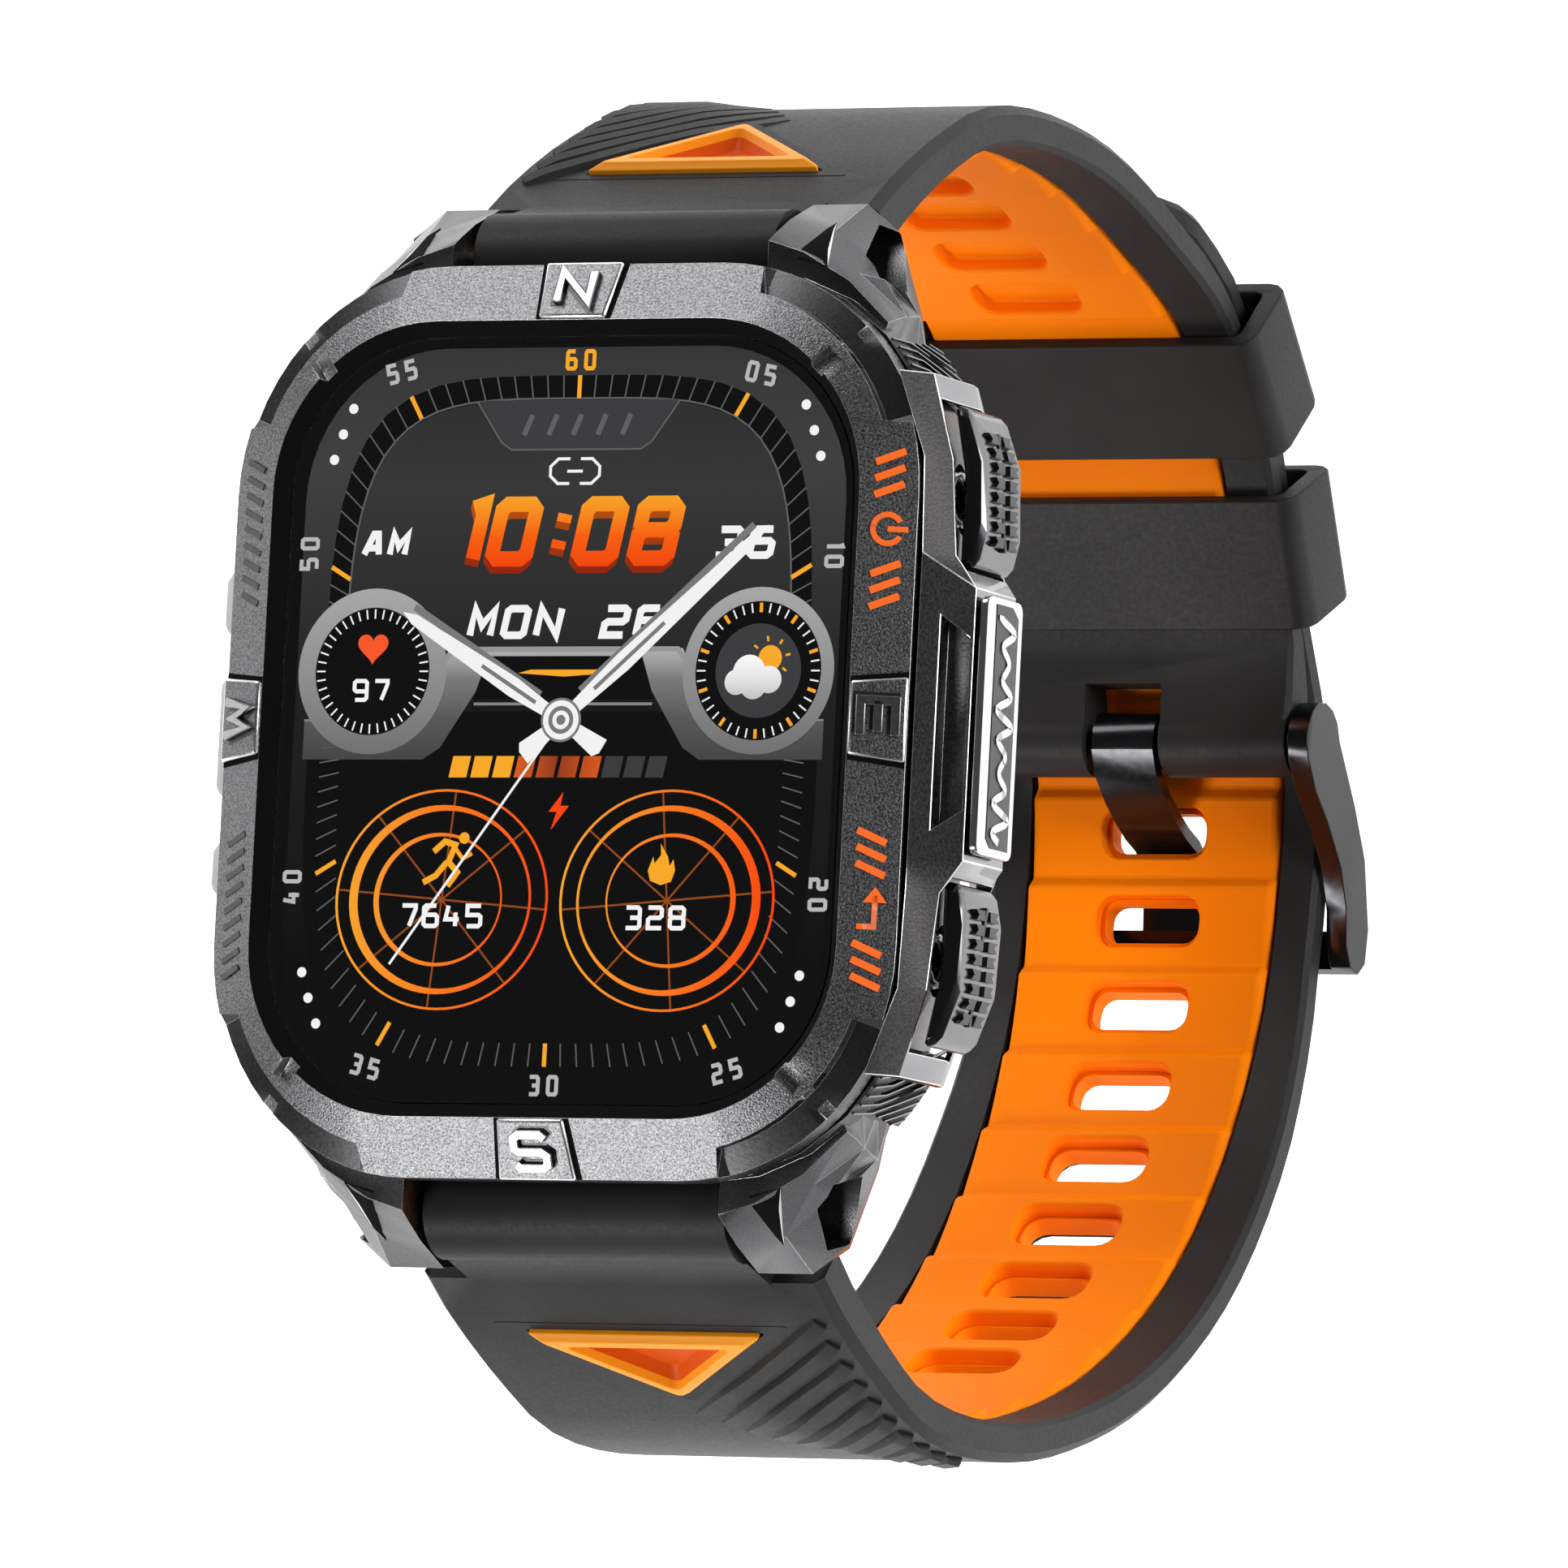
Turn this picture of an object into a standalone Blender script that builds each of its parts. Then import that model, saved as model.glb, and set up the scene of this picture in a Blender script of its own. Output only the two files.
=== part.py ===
"""Rugged GPS running watch, buckled into a loop: case, electronics, two-tone strap and buckle.

Frame: origin at the centre of the rear sensor window's outer face, +Z out of the display,
+Y towards 12 o'clock, +X towards 3 o'clock.  Lengths below are in millimetres.
"""
import math

import bmesh
import bpy
from mathutils import Matrix, Vector

MM = 0.001
GAP = 0.3                     # clearance kept between neighbouring solids

# Case, seen from the front: half widths along X and Y, corner radii, heights along Z
BEZEL_HALF = (22.2, 26.74)
BEZEL_CORNER = 13.5
BEZEL_TOP = 14.5
BEZEL_RIM = 13.0
BEZEL_BOTTOM = 11.16
GLASS_HALF = (18.15, 22.35)
GLASS_CORNER = 9.3
GLASS_TOP = 13.56
GLASS_THICK = 0.7
DISPLAY_THICK = 0.6
LEDGE_TOP = GLASS_TOP - GLASS_THICK - DISPLAY_THICK - 2 * GAP
CASE_HALF_X = 22.9
CASE_TOP = 10.9
CASE_BOTTOM = 1.9
CAVITY_HALF = (19.6, 22.9)
BACK_OPENING_HALF = (16.6, 20.0)
BACK_HALF = (18.5, 21.9)
BACK_BOTTOM = 0.6
BACK_TOP = CASE_BOTTOM - GAP
WINDOW_RADIUS = 11.0
SEAL_STEP = 10.0              # height of the step that carries the bezel gasket

# Lugs and spring bars
BAND_WIDTH = 20.0             # strap width between the lugs
LUG_INNER = 10.3
BAR_Y = 28.0
BAR_Z = 5.7
BAR_RADIUS = 0.9
BAR_TIP_RADIUS = 0.55
ROOT_RADIUS = 2.9             # strap barrel round each spring bar

# Side furniture
BUTTON_Z = 8.0
BUTTON_Y = 13.4
STEM_RADIUS = 0.5

# Strap
SHOULDER_HALF = 13.1
TAIL_HALF = 11.2
LINER_HALF = 8.45
LINER_THICK = 0.85
HOLE_PITCH = 5.65
HOLE_COUNT = 12
HOLE_SIZE = (7.1, 3.2)        # across and along the strap

# Keepers: wrist-side edge nearest the buckle, direction along the strap
KEEPER_LENGTH = 8.5
KEEPER_HALF = 13.65
KEEPER_WALL = 1.0
KEEPER_HEIGHT = 6.85
FIXED_KEEPER = ((14.2, -60.7), (0.8944, 0.4472))
FREE_KEEPER = ((24.2, -55.6), (0.7415, 0.6709))

# Buckle
BUCKLE_AXIS = (7.8, -65.0)
TUBE_RADIUS = 2.25
BUCKLE_ARM = (11.5, 12.9)     # inner and outer faces of each arm along X
BUCKLE_BAR_RADIUS = 0.75
BUCKLE_BAR_HALF = 12.1        # the bar ends inside blind bores in the arms
TANG_HALF = 2.1

COLOURS = {
    "gunmetal": ((0.085, 0.085, 0.09, 1), 0.34, 1.0),
    "dark_metal": ((0.05, 0.05, 0.055, 1), 0.28, 1.0),
    "chrome": ((0.75, 0.75, 0.77, 1), 0.12, 1.0),
    "steel": ((0.5, 0.5, 0.52, 1), 0.25, 1.0),
    "black_rubber": ((0.022, 0.022, 0.024, 1), 0.55, 0.0),
    "orange_rubber": ((0.95, 0.22, 0.01, 1), 0.5, 0.0),
    "grey_plastic": ((0.12, 0.12, 0.125, 1), 0.5, 0.0),
    "black_plastic": ((0.015, 0.015, 0.016, 1), 0.4, 0.0),
    "glass": ((0.02, 0.02, 0.025, 1), 0.03, 0.0),
    "display": ((0.01, 0.01, 0.012, 1), 0.2, 0.0),
    "circuit_board": ((0.01, 0.09, 0.05, 1), 0.5, 0.0),
    "battery_foil": ((0.35, 0.36, 0.38, 1), 0.35, 0.6),
    "gold": ((0.8, 0.55, 0.2, 1), 0.2, 1.0),
    "ceramic": ((0.7, 0.62, 0.48, 1), 0.5, 0.0),
}


# ---------------------------------------------------------------- scene and materials

def clear_scene():
    for obj in list(bpy.data.objects):
        bpy.data.objects.remove(obj, do_unlink=True)


def new_collection(name):
    collection = bpy.data.collections.new(name)
    bpy.context.scene.collection.children.link(collection)
    return collection


def material(name):
    found = bpy.data.materials.get(name)
    if found:
        return found
    colour, roughness, metallic = COLOURS[name]
    made = bpy.data.materials.new(name)
    made.use_nodes = True
    shader = made.node_tree.nodes["Principled BSDF"]
    shader.inputs["Base Color"].default_value = colour
    shader.inputs["Roughness"].default_value = roughness
    shader.inputs["Metallic"].default_value = metallic
    made.diffuse_color = colour
    return made


def add_object(name, mesh, material_name=None, smooth=None):
    """Link a mesh as a part, or as a hidden cutter when it has no material."""
    obj = bpy.data.objects.new(name, mesh)
    if material_name is None:
        CUTTERS.objects.link(obj)
        obj.hide_render = True
        obj.display_type = "WIRE"
        return obj
    PARTS.objects.link(obj)
    mesh.materials.clear()
    mesh.materials.append(material(material_name))
    if smooth is not None:
        mesh.shade_smooth()
        mesh.set_sharp_from_angle(angle=math.radians(smooth))
    return obj


# ---------------------------------------------------------------- outlines and solids

def rounded_rect(half_x, half_y, radius, per_corner=6):
    """Counter-clockwise outline of a rectangle with round corners."""
    points = []
    for quarter, (sx, sy) in enumerate(((1, 1), (-1, 1), (-1, -1), (1, -1))):
        for step in range(per_corner + 1):
            angle = math.radians(90 * (quarter + step / per_corner))
            points.append((sx * (half_x - radius) + radius * math.cos(angle),
                           sy * (half_y - radius) + radius * math.sin(angle)))
    return points


def circle(radius, centre=(0.0, 0.0), count=24):
    return [(centre[0] + radius * math.cos(2 * math.pi * k / count),
             centre[1] + radius * math.sin(2 * math.pi * k / count)) for k in range(count)]


def flat_solid(name, outlines, low, high, material_name=None, frame=None, smooth=30):
    """Extrude flat outlines (the first the rim, the others holes) from low to high along Z."""
    curve = bpy.data.curves.new(name + "_outline", "CURVE")
    curve.dimensions = "2D"
    curve.fill_mode = "BOTH"
    curve.extrude = (high - low) / 2 * MM
    for outline in outlines:
        spline = curve.splines.new("POLY")
        spline.points.add(len(outline) - 1)
        for point, (x, y) in zip(spline.points, outline):
            point.co = (x * MM, y * MM, 0.0, 1.0)
        spline.use_cyclic_u = True
    shape = bpy.data.objects.new(name + "_outline", curve)
    CUTTERS.objects.link(shape)
    mesh = bpy.data.meshes.new_from_object(shape.evaluated_get(bpy.context.evaluated_depsgraph_get()))
    bpy.data.objects.remove(shape, do_unlink=True)
    place = (frame or Matrix()) @ Matrix.Translation((0, 0, (low + high) / 2 * MM))
    solid = bmesh.new()
    solid.from_mesh(mesh)
    bmesh.ops.remove_doubles(solid, verts=solid.verts, dist=1e-6)
    bmesh.ops.transform(solid, matrix=place, verts=solid.verts)
    bmesh.ops.recalc_face_normals(solid, faces=solid.faces)
    solid.to_mesh(mesh)
    solid.free()
    return add_object(name, mesh, material_name, smooth)


def loft(name, rings, material_name=None, closed=False, smooth=35):
    """Skin equal-length rings of (x, y, z) points; open stacks get end caps."""
    solid = bmesh.new()
    rows = [[solid.verts.new([value * MM for value in point]) for point in ring] for ring in rings]
    count = len(rows[0])
    pairs = list(zip(rows, rows[1:]))
    if closed:
        pairs.append((rows[-1], rows[0]))
    for lower, upper in pairs:
        for k in range(count):
            following = (k + 1) % count
            solid.faces.new((lower[k], lower[following], upper[following], upper[k]))
    if not closed:
        solid.faces.new(rows[0][::-1])
        solid.faces.new(rows[-1])
    bmesh.ops.triangulate(solid, faces=[face for face in solid.faces if len(face.verts) > 4])
    bmesh.ops.recalc_face_normals(solid, faces=solid.faces)
    mesh = bpy.data.meshes.new(name)
    solid.to_mesh(mesh)
    solid.free()
    return add_object(name, mesh, material_name, smooth)


def along_x(y, z, start=0.0):
    """Frame whose local Z runs along +X from (start, y, z), local X along +Y."""
    axes = Matrix(((0, 0, 1), (1, 0, 0), (0, 1, 0))).to_4x4()
    return Matrix.Translation((start * MM, y * MM, z * MM)) @ axes


def rod(name, radius, low, high, y, z, material_name=None, segments=24):
    """Round bar along X from low to high, as a capped cone primitive."""
    solid = bmesh.new()
    frame = along_x(y, z, (low + high) / 2)
    bmesh.ops.create_cone(solid, cap_ends=True, segments=segments, radius1=radius * MM,
                          radius2=radius * MM, depth=(high - low) * MM, matrix=frame)
    mesh = bpy.data.meshes.new(name)
    solid.to_mesh(mesh)
    solid.free()
    return add_object(name, mesh, material_name, 30)


def turned(name, profile, frame, material_name, steps=20, closed=False):
    """Solid of revolution from (radius, height) points, outer side first from top to bottom."""
    mesh = bpy.data.meshes.new(name)
    points = [(radius * MM, 0.0, height * MM) for radius, height in profile]
    edges = [(k, k + 1) for k in range(len(points) - 1)]
    if closed:
        edges.append((len(points) - 1, 0))
    mesh.from_pydata(points, edges, [])
    obj = add_object(name, mesh, material_name)
    screw = obj.modifiers.new("turn", "SCREW")
    screw.axis = "Z"
    screw.steps = screw.render_steps = steps
    screw.use_merge_vertices = True
    screw.merge_threshold = 1e-6
    obj.matrix_world = frame
    return obj


def cut(obj, *cutters, operation="DIFFERENCE"):
    for cutter in cutters:
        boolean = obj.modifiers.new(cutter.name, "BOOLEAN")
        boolean.operation = operation
        boolean.solver = "EXACT"
        boolean.object = cutter
    return obj


def soften(obj, width, segments=1, angle=40):
    bevel = obj.modifiers.new("edges", "BEVEL")
    bevel.width = width * MM
    bevel.segments = segments
    bevel.limit_method = "ANGLE"
    bevel.angle_limit = math.radians(angle)
    return obj


# ---------------------------------------------------------------- case

def case_ring(half_x, half_y, radius, height):
    return [(x, y, height) for x, y in rounded_rect(half_x, half_y, radius)]


def make_bezel():
    """Sloping metal ring with a chamfer down to the glass and a ledge that carries it."""
    wall = [half + GAP for half in GLASS_HALF]
    ledge = [half - 1.45 for half in wall]
    rings = [
        case_ring(wall[0] + 0.65, wall[1] + 0.65, 10.2, BEZEL_TOP),
        case_ring(*wall, GLASS_CORNER + GAP, GLASS_TOP),
        case_ring(*wall, GLASS_CORNER + GAP, LEDGE_TOP),
        case_ring(*ledge, GLASS_CORNER - 1.15, LEDGE_TOP),
        case_ring(*ledge, GLASS_CORNER - 1.15, BEZEL_BOTTOM),
        case_ring(*BEZEL_HALF, BEZEL_CORNER, BEZEL_BOTTOM),
        case_ring(*BEZEL_HALF, BEZEL_CORNER, BEZEL_RIM),
    ]
    return loft("bezel", rings, "gunmetal", closed=True)


def make_front_stack():
    glass_bottom = GLASS_TOP - GLASS_THICK
    display_top = glass_bottom - GAP
    outline = rounded_rect(*GLASS_HALF, GLASS_CORNER)
    flat_solid("cover_glass", [outline], glass_bottom, GLASS_TOP, "glass")
    flat_solid("display_panel", [outline], display_top - DISPLAY_THICK, display_top, "display")
    gasket_rim = rounded_rect(20.7, 24.9, 11.7)
    gasket_hole = rounded_rect(19.9, 24.1, 10.9)
    flat_solid("bezel_gasket", [gasket_rim, gasket_hole], SEAL_STEP + 0.25, CASE_TOP - 0.05,
               "black_rubber")


def lug_levels():
    """Lug cross-sections from bottom to top: corner points in the XY plane at each height."""
    outside = (
        (1.7, (10.3, 30.6), (12.4, 30.5), (14.4, 29.2), (15.9, 25.4)),
        (2.3, (10.3, 31.0), (12.8, 31.0), (15.0, 29.6), (16.6, 25.0)),
        (4.6, (10.3, 31.3), (13.8, 31.3), (16.1, 29.5), (17.6, 24.6)),
        (7.6, (10.3, 30.0), (13.4, 29.4), (16.3, 27.3), (18.2, 24.2)),
        (9.3, (10.3, 29.0), (12.9, 28.3), (15.9, 26.5), (18.4, 23.8)),
        (10.2, (10.3, 28.4), (12.6, 27.7), (15.6, 26.0), (18.3, 23.5)),
    )
    rings = []
    for height, *corners in outside:
        inside = ((17.4, 20.8), (14.2, 23.0), (10.3, 23.6))
        rings.append([(x, y, height) for x, y in (*corners, *inside)])
    return rings


def make_mid_case():
    """Case middle: wall ring with a gasket step, a back flange, four lugs and button bores."""
    rings = [
        case_ring(22.5, 26.6, 13.4, CASE_TOP),
        case_ring(CASE_HALF_X, 26.6, 13.4, 9.8),
        case_ring(CASE_HALF_X, 24.7, 12.0, 8.9),
        case_ring(21.8, 24.6, 11.8, 4.2),
        case_ring(18.8, 22.2, 10.0, CASE_BOTTOM),
        case_ring(*BACK_OPENING_HALF, 8.0, CASE_BOTTOM),
        case_ring(*BACK_OPENING_HALF, 8.0, 3.1),
        case_ring(*CAVITY_HALF, 10.0, 3.1),
        case_ring(*CAVITY_HALF, 10.0, SEAL_STEP),
        case_ring(21.0, 25.2, 12.0, SEAL_STEP),
        case_ring(21.0, 25.2, 12.0, CASE_TOP),
    ]
    case = loft("mid_case", rings, "dark_metal", closed=True)
    for side_x in (1, -1):
        for side_y in (1, -1):
            label = f"lug_{'right' if side_x > 0 else 'left'}_{'12' if side_y > 0 else '6'}"
            levels = [[(side_x * x, side_y * y, z) for x, y, z in ring] for ring in lug_levels()]
            cut(case, loft(label, levels), operation="UNION")
            cut(case, lug_pocket(label + "_pocket", side_x, side_y))
    for side_x in (1, -1):
        hole_ends = sorted((side_x * (LUG_INNER - 1), side_x * 12.3))
        cut(case, rod(f"lug_bore_{side_x}", BAR_TIP_RADIUS + GAP, *hole_ends, BAR_Y, BAR_Z))
        cut(case, rod(f"lug_bore_6_{side_x}", BAR_TIP_RADIUS + GAP, *hole_ends, -BAR_Y, BAR_Z))
    for side_y in (1, -1):
        y = side_y * BUTTON_Y
        cut(case, rod(f"stem_bore_{side_y}", 1.45, 19.0, 24.0, y, BUTTON_Z),
            rod(f"spring_bore_{side_y}", 2.1, 21.2, 24.0, y, BUTTON_Z))
    for number, (x, y) in enumerate(screw_places()):
        cut(case, flat_solid(f"screw_thread_{number}", [circle(0.8, (x, y), 12)], 1.0, 3.6))
    return case


def lug_pocket(name, side_x, side_y):
    """Window in the outer cheek of a lug, as a prism along X."""
    triangle = [(25.7, 6.3), (26.4, 8.3), (27.8, 7.8), (30.0, 5.2), (29.3, 4.1)]
    outline = [(side_y * y, z) for y, z in triangle]
    start, end = sorted((side_x * 13.4, side_x * 22.0))
    return flat_solid(name, [outline], start, end, frame=along_x(0, 0))


def screw_places():
    """Four back screws, in the corners of the back flange."""
    return [(x * 15.05, y * 18.45) for x in (1, -1) for y in (1, -1)]


def make_back():
    window_hole = circle(WINDOW_RADIUS + GAP, count=40)
    pin_places = [(-1.9, -16.6), (1.9, -16.6)]
    cover = flat_solid("rear_cover", [rounded_rect(*BACK_HALF, 9.8), window_hole],
                       BACK_BOTTOM, BACK_TOP, "black_plastic")
    for number, (x, y) in enumerate(screw_places()):
        cut(cover, flat_solid(f"head_bore_{number}", [circle(1.25, (x, y), 16)], 0.0, 1.15),
            flat_solid(f"shank_bore_{number}", [circle(0.75, (x, y), 12)], 1.0, 2.0))
        place = Matrix.Translation((x * MM, y * MM, 0))
        profile = [(0, 2.9), (0.45, 2.9), (0.45, 0.85), (0.95, 0.85), (0.95, 0.62), (0, 0.62)]
        turned(f"rear_screw_{number + 1}", profile, place, "steel", 14)
    for number, (x, y) in enumerate(pin_places):
        cut(cover, flat_solid(f"pin_bore_{number}", [circle(1.2, (x, y), 16)], 0.0, 2.0))
        flat_solid(f"charge_pin_{number + 1}", [circle(0.9, (x, y), 16)], 0.5, 2.1, "gold")
    flat_solid("sensor_window", [circle(WINDOW_RADIUS, count=40)], 0.0, 1.2, "glass")
    flat_solid("sensor_board", [circle(9.5, count=28)], 1.5, 2.3, "circuit_board")
    flat_solid("rear_gasket", [rounded_rect(16.2, 19.6, 7.6), rounded_rect(15.4, 18.8, 6.8)],
               2.0, 2.7, "black_rubber")


def make_electronics():
    flat_solid("main_board", [rounded_rect(17.5, 20.0, 6.0, 3)], 8.7, 9.5, "circuit_board")
    flat_solid("battery", [[(x - 3.0, y - 4.0) for x, y in rounded_rect(12.5, 14.0, 1.5, 3)]],
               3.4, 8.3, "battery_foil")
    flat_solid("gps_antenna", [[(x, y + 13.0) for x, y in rounded_rect(4.5, 4.5, 0.6, 2)]],
               9.8, 10.9, "ceramic")
    flat_solid("speaker", [circle(4.4, (-8.0, 15.2), 24)], 4.0, 6.8, "black_plastic")
    ribbon = [(-15.5, 9.8), (-9.5, 9.8), (-9.5, 10.05), (-15.25, 10.05), (-15.25, 10.9), (-10.5, 10.9),
              (-10.5, 11.15), (-15.5, 11.15)]
    flat_solid("display_flex", [ribbon], -5.0, 5.0, "gold", frame=along_x(0, 0))


def make_vibration_unit():
    """Small cylindrical motor and the eccentric weight on its shaft, both along X."""
    y, z = 15.5, 6.0
    rod("vibration_motor", 2.0, -0.5, 6.0, y, z, "steel", 20)
    sector = [(0.0, 0.75)] + [(-1.9 * math.cos(math.radians(a)), -1.9 * math.sin(math.radians(a)))
                              for a in range(0, 181, 20)][::-1]
    weight = flat_solid("vibration_weight", [sector], 6.9, 8.9, "steel", frame=along_x(y, z))
    cut(weight, rod("vibration_shaft", 0.35, 6.3, 9.3, y, z, segments=12), operation="UNION")


# ---------------------------------------------------------------- side guards and buttons

def guard_section(y, outer, inner, top_inner):
    """Outline of the right guard at one station, in the XZ plane."""
    chamfer = 0.4 * (outer - inner)
    return [(inner, y, 4.6), (outer - chamfer, y, 4.6), (outer, y, 5.9), (outer, y, 11.2),
            (top_inner, y, 12.9), (top_inner, y, 11.4), (inner, y, 11.2)]


def case_side(half_x, half_y, radius, y):
    """X of a rounded-rectangle wall at height y."""
    over = max(0.0, abs(y) - (half_y - radius))
    return half_x - radius + math.sqrt(radius ** 2 - over ** 2)


def guard_rings(stations):
    rings = []
    for y, outer in stations:
        inner = case_side(CASE_HALF_X, 26.6, 13.4, y) + GAP
        top_inner = case_side(*BEZEL_HALF, BEZEL_CORNER, y) + GAP
        rings.append(guard_section(y, outer, inner, top_inner))
    return rings


def button_outline(inset=0.0):
    """Button seen from the front: a long bar with sloping ends, bent with the case."""
    return [(23.75 - inset, 8.9 - inset), (24.9 + inset, 9.3 - inset), (25.3 + inset, 11.2),
            (25.1 + inset, 15.4), (24.0 + inset, 18.3 + inset), (22.9 - inset, 18.7 + inset),
            (23.75 - inset, 14.6)]


def make_right_side():
    """Guard with two button windows, the plate between them, and the two buttons."""
    stations = [(-20.4, 21.9), (-15.4, 23.4), (-9.8, 23.9), (-7.9, 25.3),
                (7.9, 25.3), (9.8, 23.9), (15.4, 23.4), (20.4, 21.9)]
    guard = loft("right_guard", guard_rings(stations), "chrome")
    slot = [(25.1, -5.0), (23.6, -6.2), (23.6, 6.2), (25.1, 5.0)]
    cut(guard, flat_solid("guard_slot", [slot], 11.1, 14.0))
    plate = rounded_rect(7.5, 2.35, 0.6, 3)
    flat_solid("side_plate", [plate], 25.6, 26.1, "chrome", frame=along_x(0, 8.85))
    for side, label in ((1, "power"), (-1, "back")):
        window = [(x, side * y) for x, y in button_outline(0.35)]
        window[0] = (22.6, side * 8.55)
        window[-2] = (21.4, side * 19.05)
        window[-1] = (22.5, side * 14.6)
        cut(guard, flat_solid(f"{label}_window", [window[::side]], 5.0, 11.0))
        outline = [(x, side * y) for x, y in button_outline()][::side]
        button = soften(flat_solid(f"{label}_button", [outline], 5.4, 10.6, "dark_metal"), 0.35)
        stem = rod(f"{label}_stem", STEM_RADIUS, 18.9, 24.3, side * BUTTON_Y, BUTTON_Z, segments=14)
        cut(button, stem, operation="UNION")
        make_coil(f"{label}_button_spring", side * BUTTON_Y)
        make_seal(f"{label}_button_seal", side * BUTTON_Y)


def make_coil(name, y, radius=1.5, wire=0.16, turns=3, low=21.55, high=22.85):
    """Return spring round a button stem: a helix along X."""
    curve = bpy.data.curves.new(name, "CURVE")
    curve.dimensions = "3D"
    curve.bevel_depth = wire * MM
    curve.bevel_resolution = 1
    curve.use_fill_caps = True
    per_turn = 10
    count = turns * per_turn + 1
    spline = curve.splines.new("POLY")
    spline.points.add(count - 1)
    for k, point in enumerate(spline.points):
        angle = 2 * math.pi * k / per_turn
        x = low + (high - low) * k / (count - 1)
        point.co = (x * MM, (y + radius * math.cos(angle)) * MM,
                    (BUTTON_Z + radius * math.sin(angle)) * MM, 1.0)
    shape = bpy.data.objects.new(name + "_wire", curve)
    CUTTERS.objects.link(shape)
    mesh = bpy.data.meshes.new_from_object(shape.evaluated_get(bpy.context.evaluated_depsgraph_get()))
    bpy.data.objects.remove(shape, do_unlink=True)
    solid = bmesh.new()
    solid.from_mesh(mesh)
    bmesh.ops.remove_doubles(solid, verts=solid.verts, dist=1e-6)
    bmesh.ops.recalc_face_normals(solid, faces=solid.faces)
    solid.to_mesh(mesh)
    solid.free()
    add_object(name, mesh, "steel", 40)


def make_seal(name, y):
    """O-ring between a button stem and the case bore."""
    ring = [(0.95 + 0.2 * math.cos(-2 * math.pi * k / 8), 0.2 * math.sin(-2 * math.pi * k / 8))
            for k in range(8)]
    turned(name, ring, along_x(y, BUTTON_Z, 20.4), "black_rubber", 16, closed=True)


def make_left_guard():
    """Strip on the 9 o'clock side with three low bumps."""
    rest, bump = 23.55, 24.35
    stations = []
    for low, high in ((-10.3, -6.7), (-4.5, 3.2), (5.1, 9.3)):
        stations += [(low, rest), (low + 0.7, bump), (high - 0.7, bump), (high, rest)]
    stations = [(-13.0, rest)] + stations + [(12.0, rest)]
    inner = CASE_HALF_X + GAP
    rings = [[(-inner, y, 5.4), (-outer, y, 6.2), (-outer, y, 9.8), (-inner, y, 10.8)]
             for y, outer in stations]
    return loft("left_guard", rings, "grey_plastic")


# ---------------------------------------------------------------- strap

UPPER_LINE = [(26.2, 3.4), (28.6, 0.7), (30.7, -1.8), (34.4, -7.5), (37.4, -14.1), (38.4, -22.5),
              (37.6, -32.5), (34.4, -43.3), (32.2, -49.0), (30.3, -51.9), (25.1, -56.6),
              (22.4, -58.1), (14.8, -61.9), (11.2, -62.9), (7.9, -63.0)]
LOWER_LINE = [(-26.2, 3.4), (-28.6, 0.7), (-30.7, -1.8), (-34.1, -7.5), (-36.9, -14.0),
              (-37.7, -22.5), (-36.7, -32.5), (-33.2, -44.2), (-27.0, -54.8), (-18.6, -62.5),
              (-8.5, -67.4), (2.5, -68.9), (8.0, -68.0), (15.8, -63.9), (23.4, -60.1),
              (26.6, -58.3), (32.9, -52.6), (34.9, -49.6), (36.7, -45.4), (37.9, -41.6)]


class StrapLine:
    """Smooth wrist-side line of one strap half in the YZ plane, measured by arc length."""

    def __init__(self, knots, side):
        self.side = side
        self.points = []
        ends = [knots[0], *knots, knots[-1]]
        for a, b, c, d in zip(ends, ends[1:], ends[2:], ends[3:]):
            for step in range(12):
                self.points.append(self.blend(a, b, c, d, step / 12))
        self.points.append(Vector(knots[-1]))
        self.lengths = [0.0]
        for first, second in zip(self.points, self.points[1:]):
            self.lengths.append(self.lengths[-1] + (second - first).length)
        self.total = self.lengths[-1]

    @staticmethod
    def blend(a, b, c, d, t):
        """Catmull-Rom point between b and c."""
        a, b, c, d = (Vector(point) for point in (a, b, c, d))
        return 0.5 * (2 * b + (c - a) * t + (2 * a - 5 * b + 4 * c - d) * t ** 2
                      + (3 * b - a - 3 * c + d) * t ** 3)

    def point(self, s):
        s = min(max(s, 0.0), self.total)
        k = max(i for i, length in enumerate(self.lengths[:-1]) if length <= s)
        span = self.lengths[k + 1] - self.lengths[k]
        return self.points[k].lerp(self.points[k + 1], (s - self.lengths[k]) / span)

    def frame(self, s):
        """Point, direction along the strap and direction away from the wrist."""
        along = (self.point(s + 0.4) - self.point(s - 0.4)).normalized()
        return self.point(s), along, Vector((along.y, -along.x)) * self.side

    def nearest(self, y, z):
        target = Vector((y, z))
        best = min(range(len(self.points)), key=lambda k: (self.points[k] - target).length)
        return self.lengths[best]

    def world(self, s, x, out):
        here, _, normal = self.frame(s)
        spot = here + normal * out
        return (x, spot.x, spot.y)


def ramp(value, points):
    """Piecewise-linear lookup in (position, value) pairs."""
    for (a, low), (b, high) in zip(points, points[1:]):
        if value <= b:
            return low + (high - low) * max(0.0, (value - a) / (b - a))
    return points[-1][1]


def sweep(name, line, stations, section, material_name=None):
    """Loft section(s), a list of (x, outward) points, along a strap line."""
    rings = [[line.world(s, x, out) for x, out in section(s)] for s in stations]
    return loft(name, rings, material_name, smooth=50)


def spread(low, high, pitch=2.8):
    count = max(2, round((high - low) / pitch))
    return [low + (high - low) * k / count for k in range(count + 1)]


def strap_section(half, thick, chamfer=0.55):
    return [(-half, chamfer * 0.6), (-half + chamfer * 0.6, 0.0), (half - chamfer * 0.6, 0.0),
            (half, chamfer * 0.6), (half, thick - chamfer), (half - chamfer, thick),
            (-half + chamfer, thick), (-half, thick - chamfer)]


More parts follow.
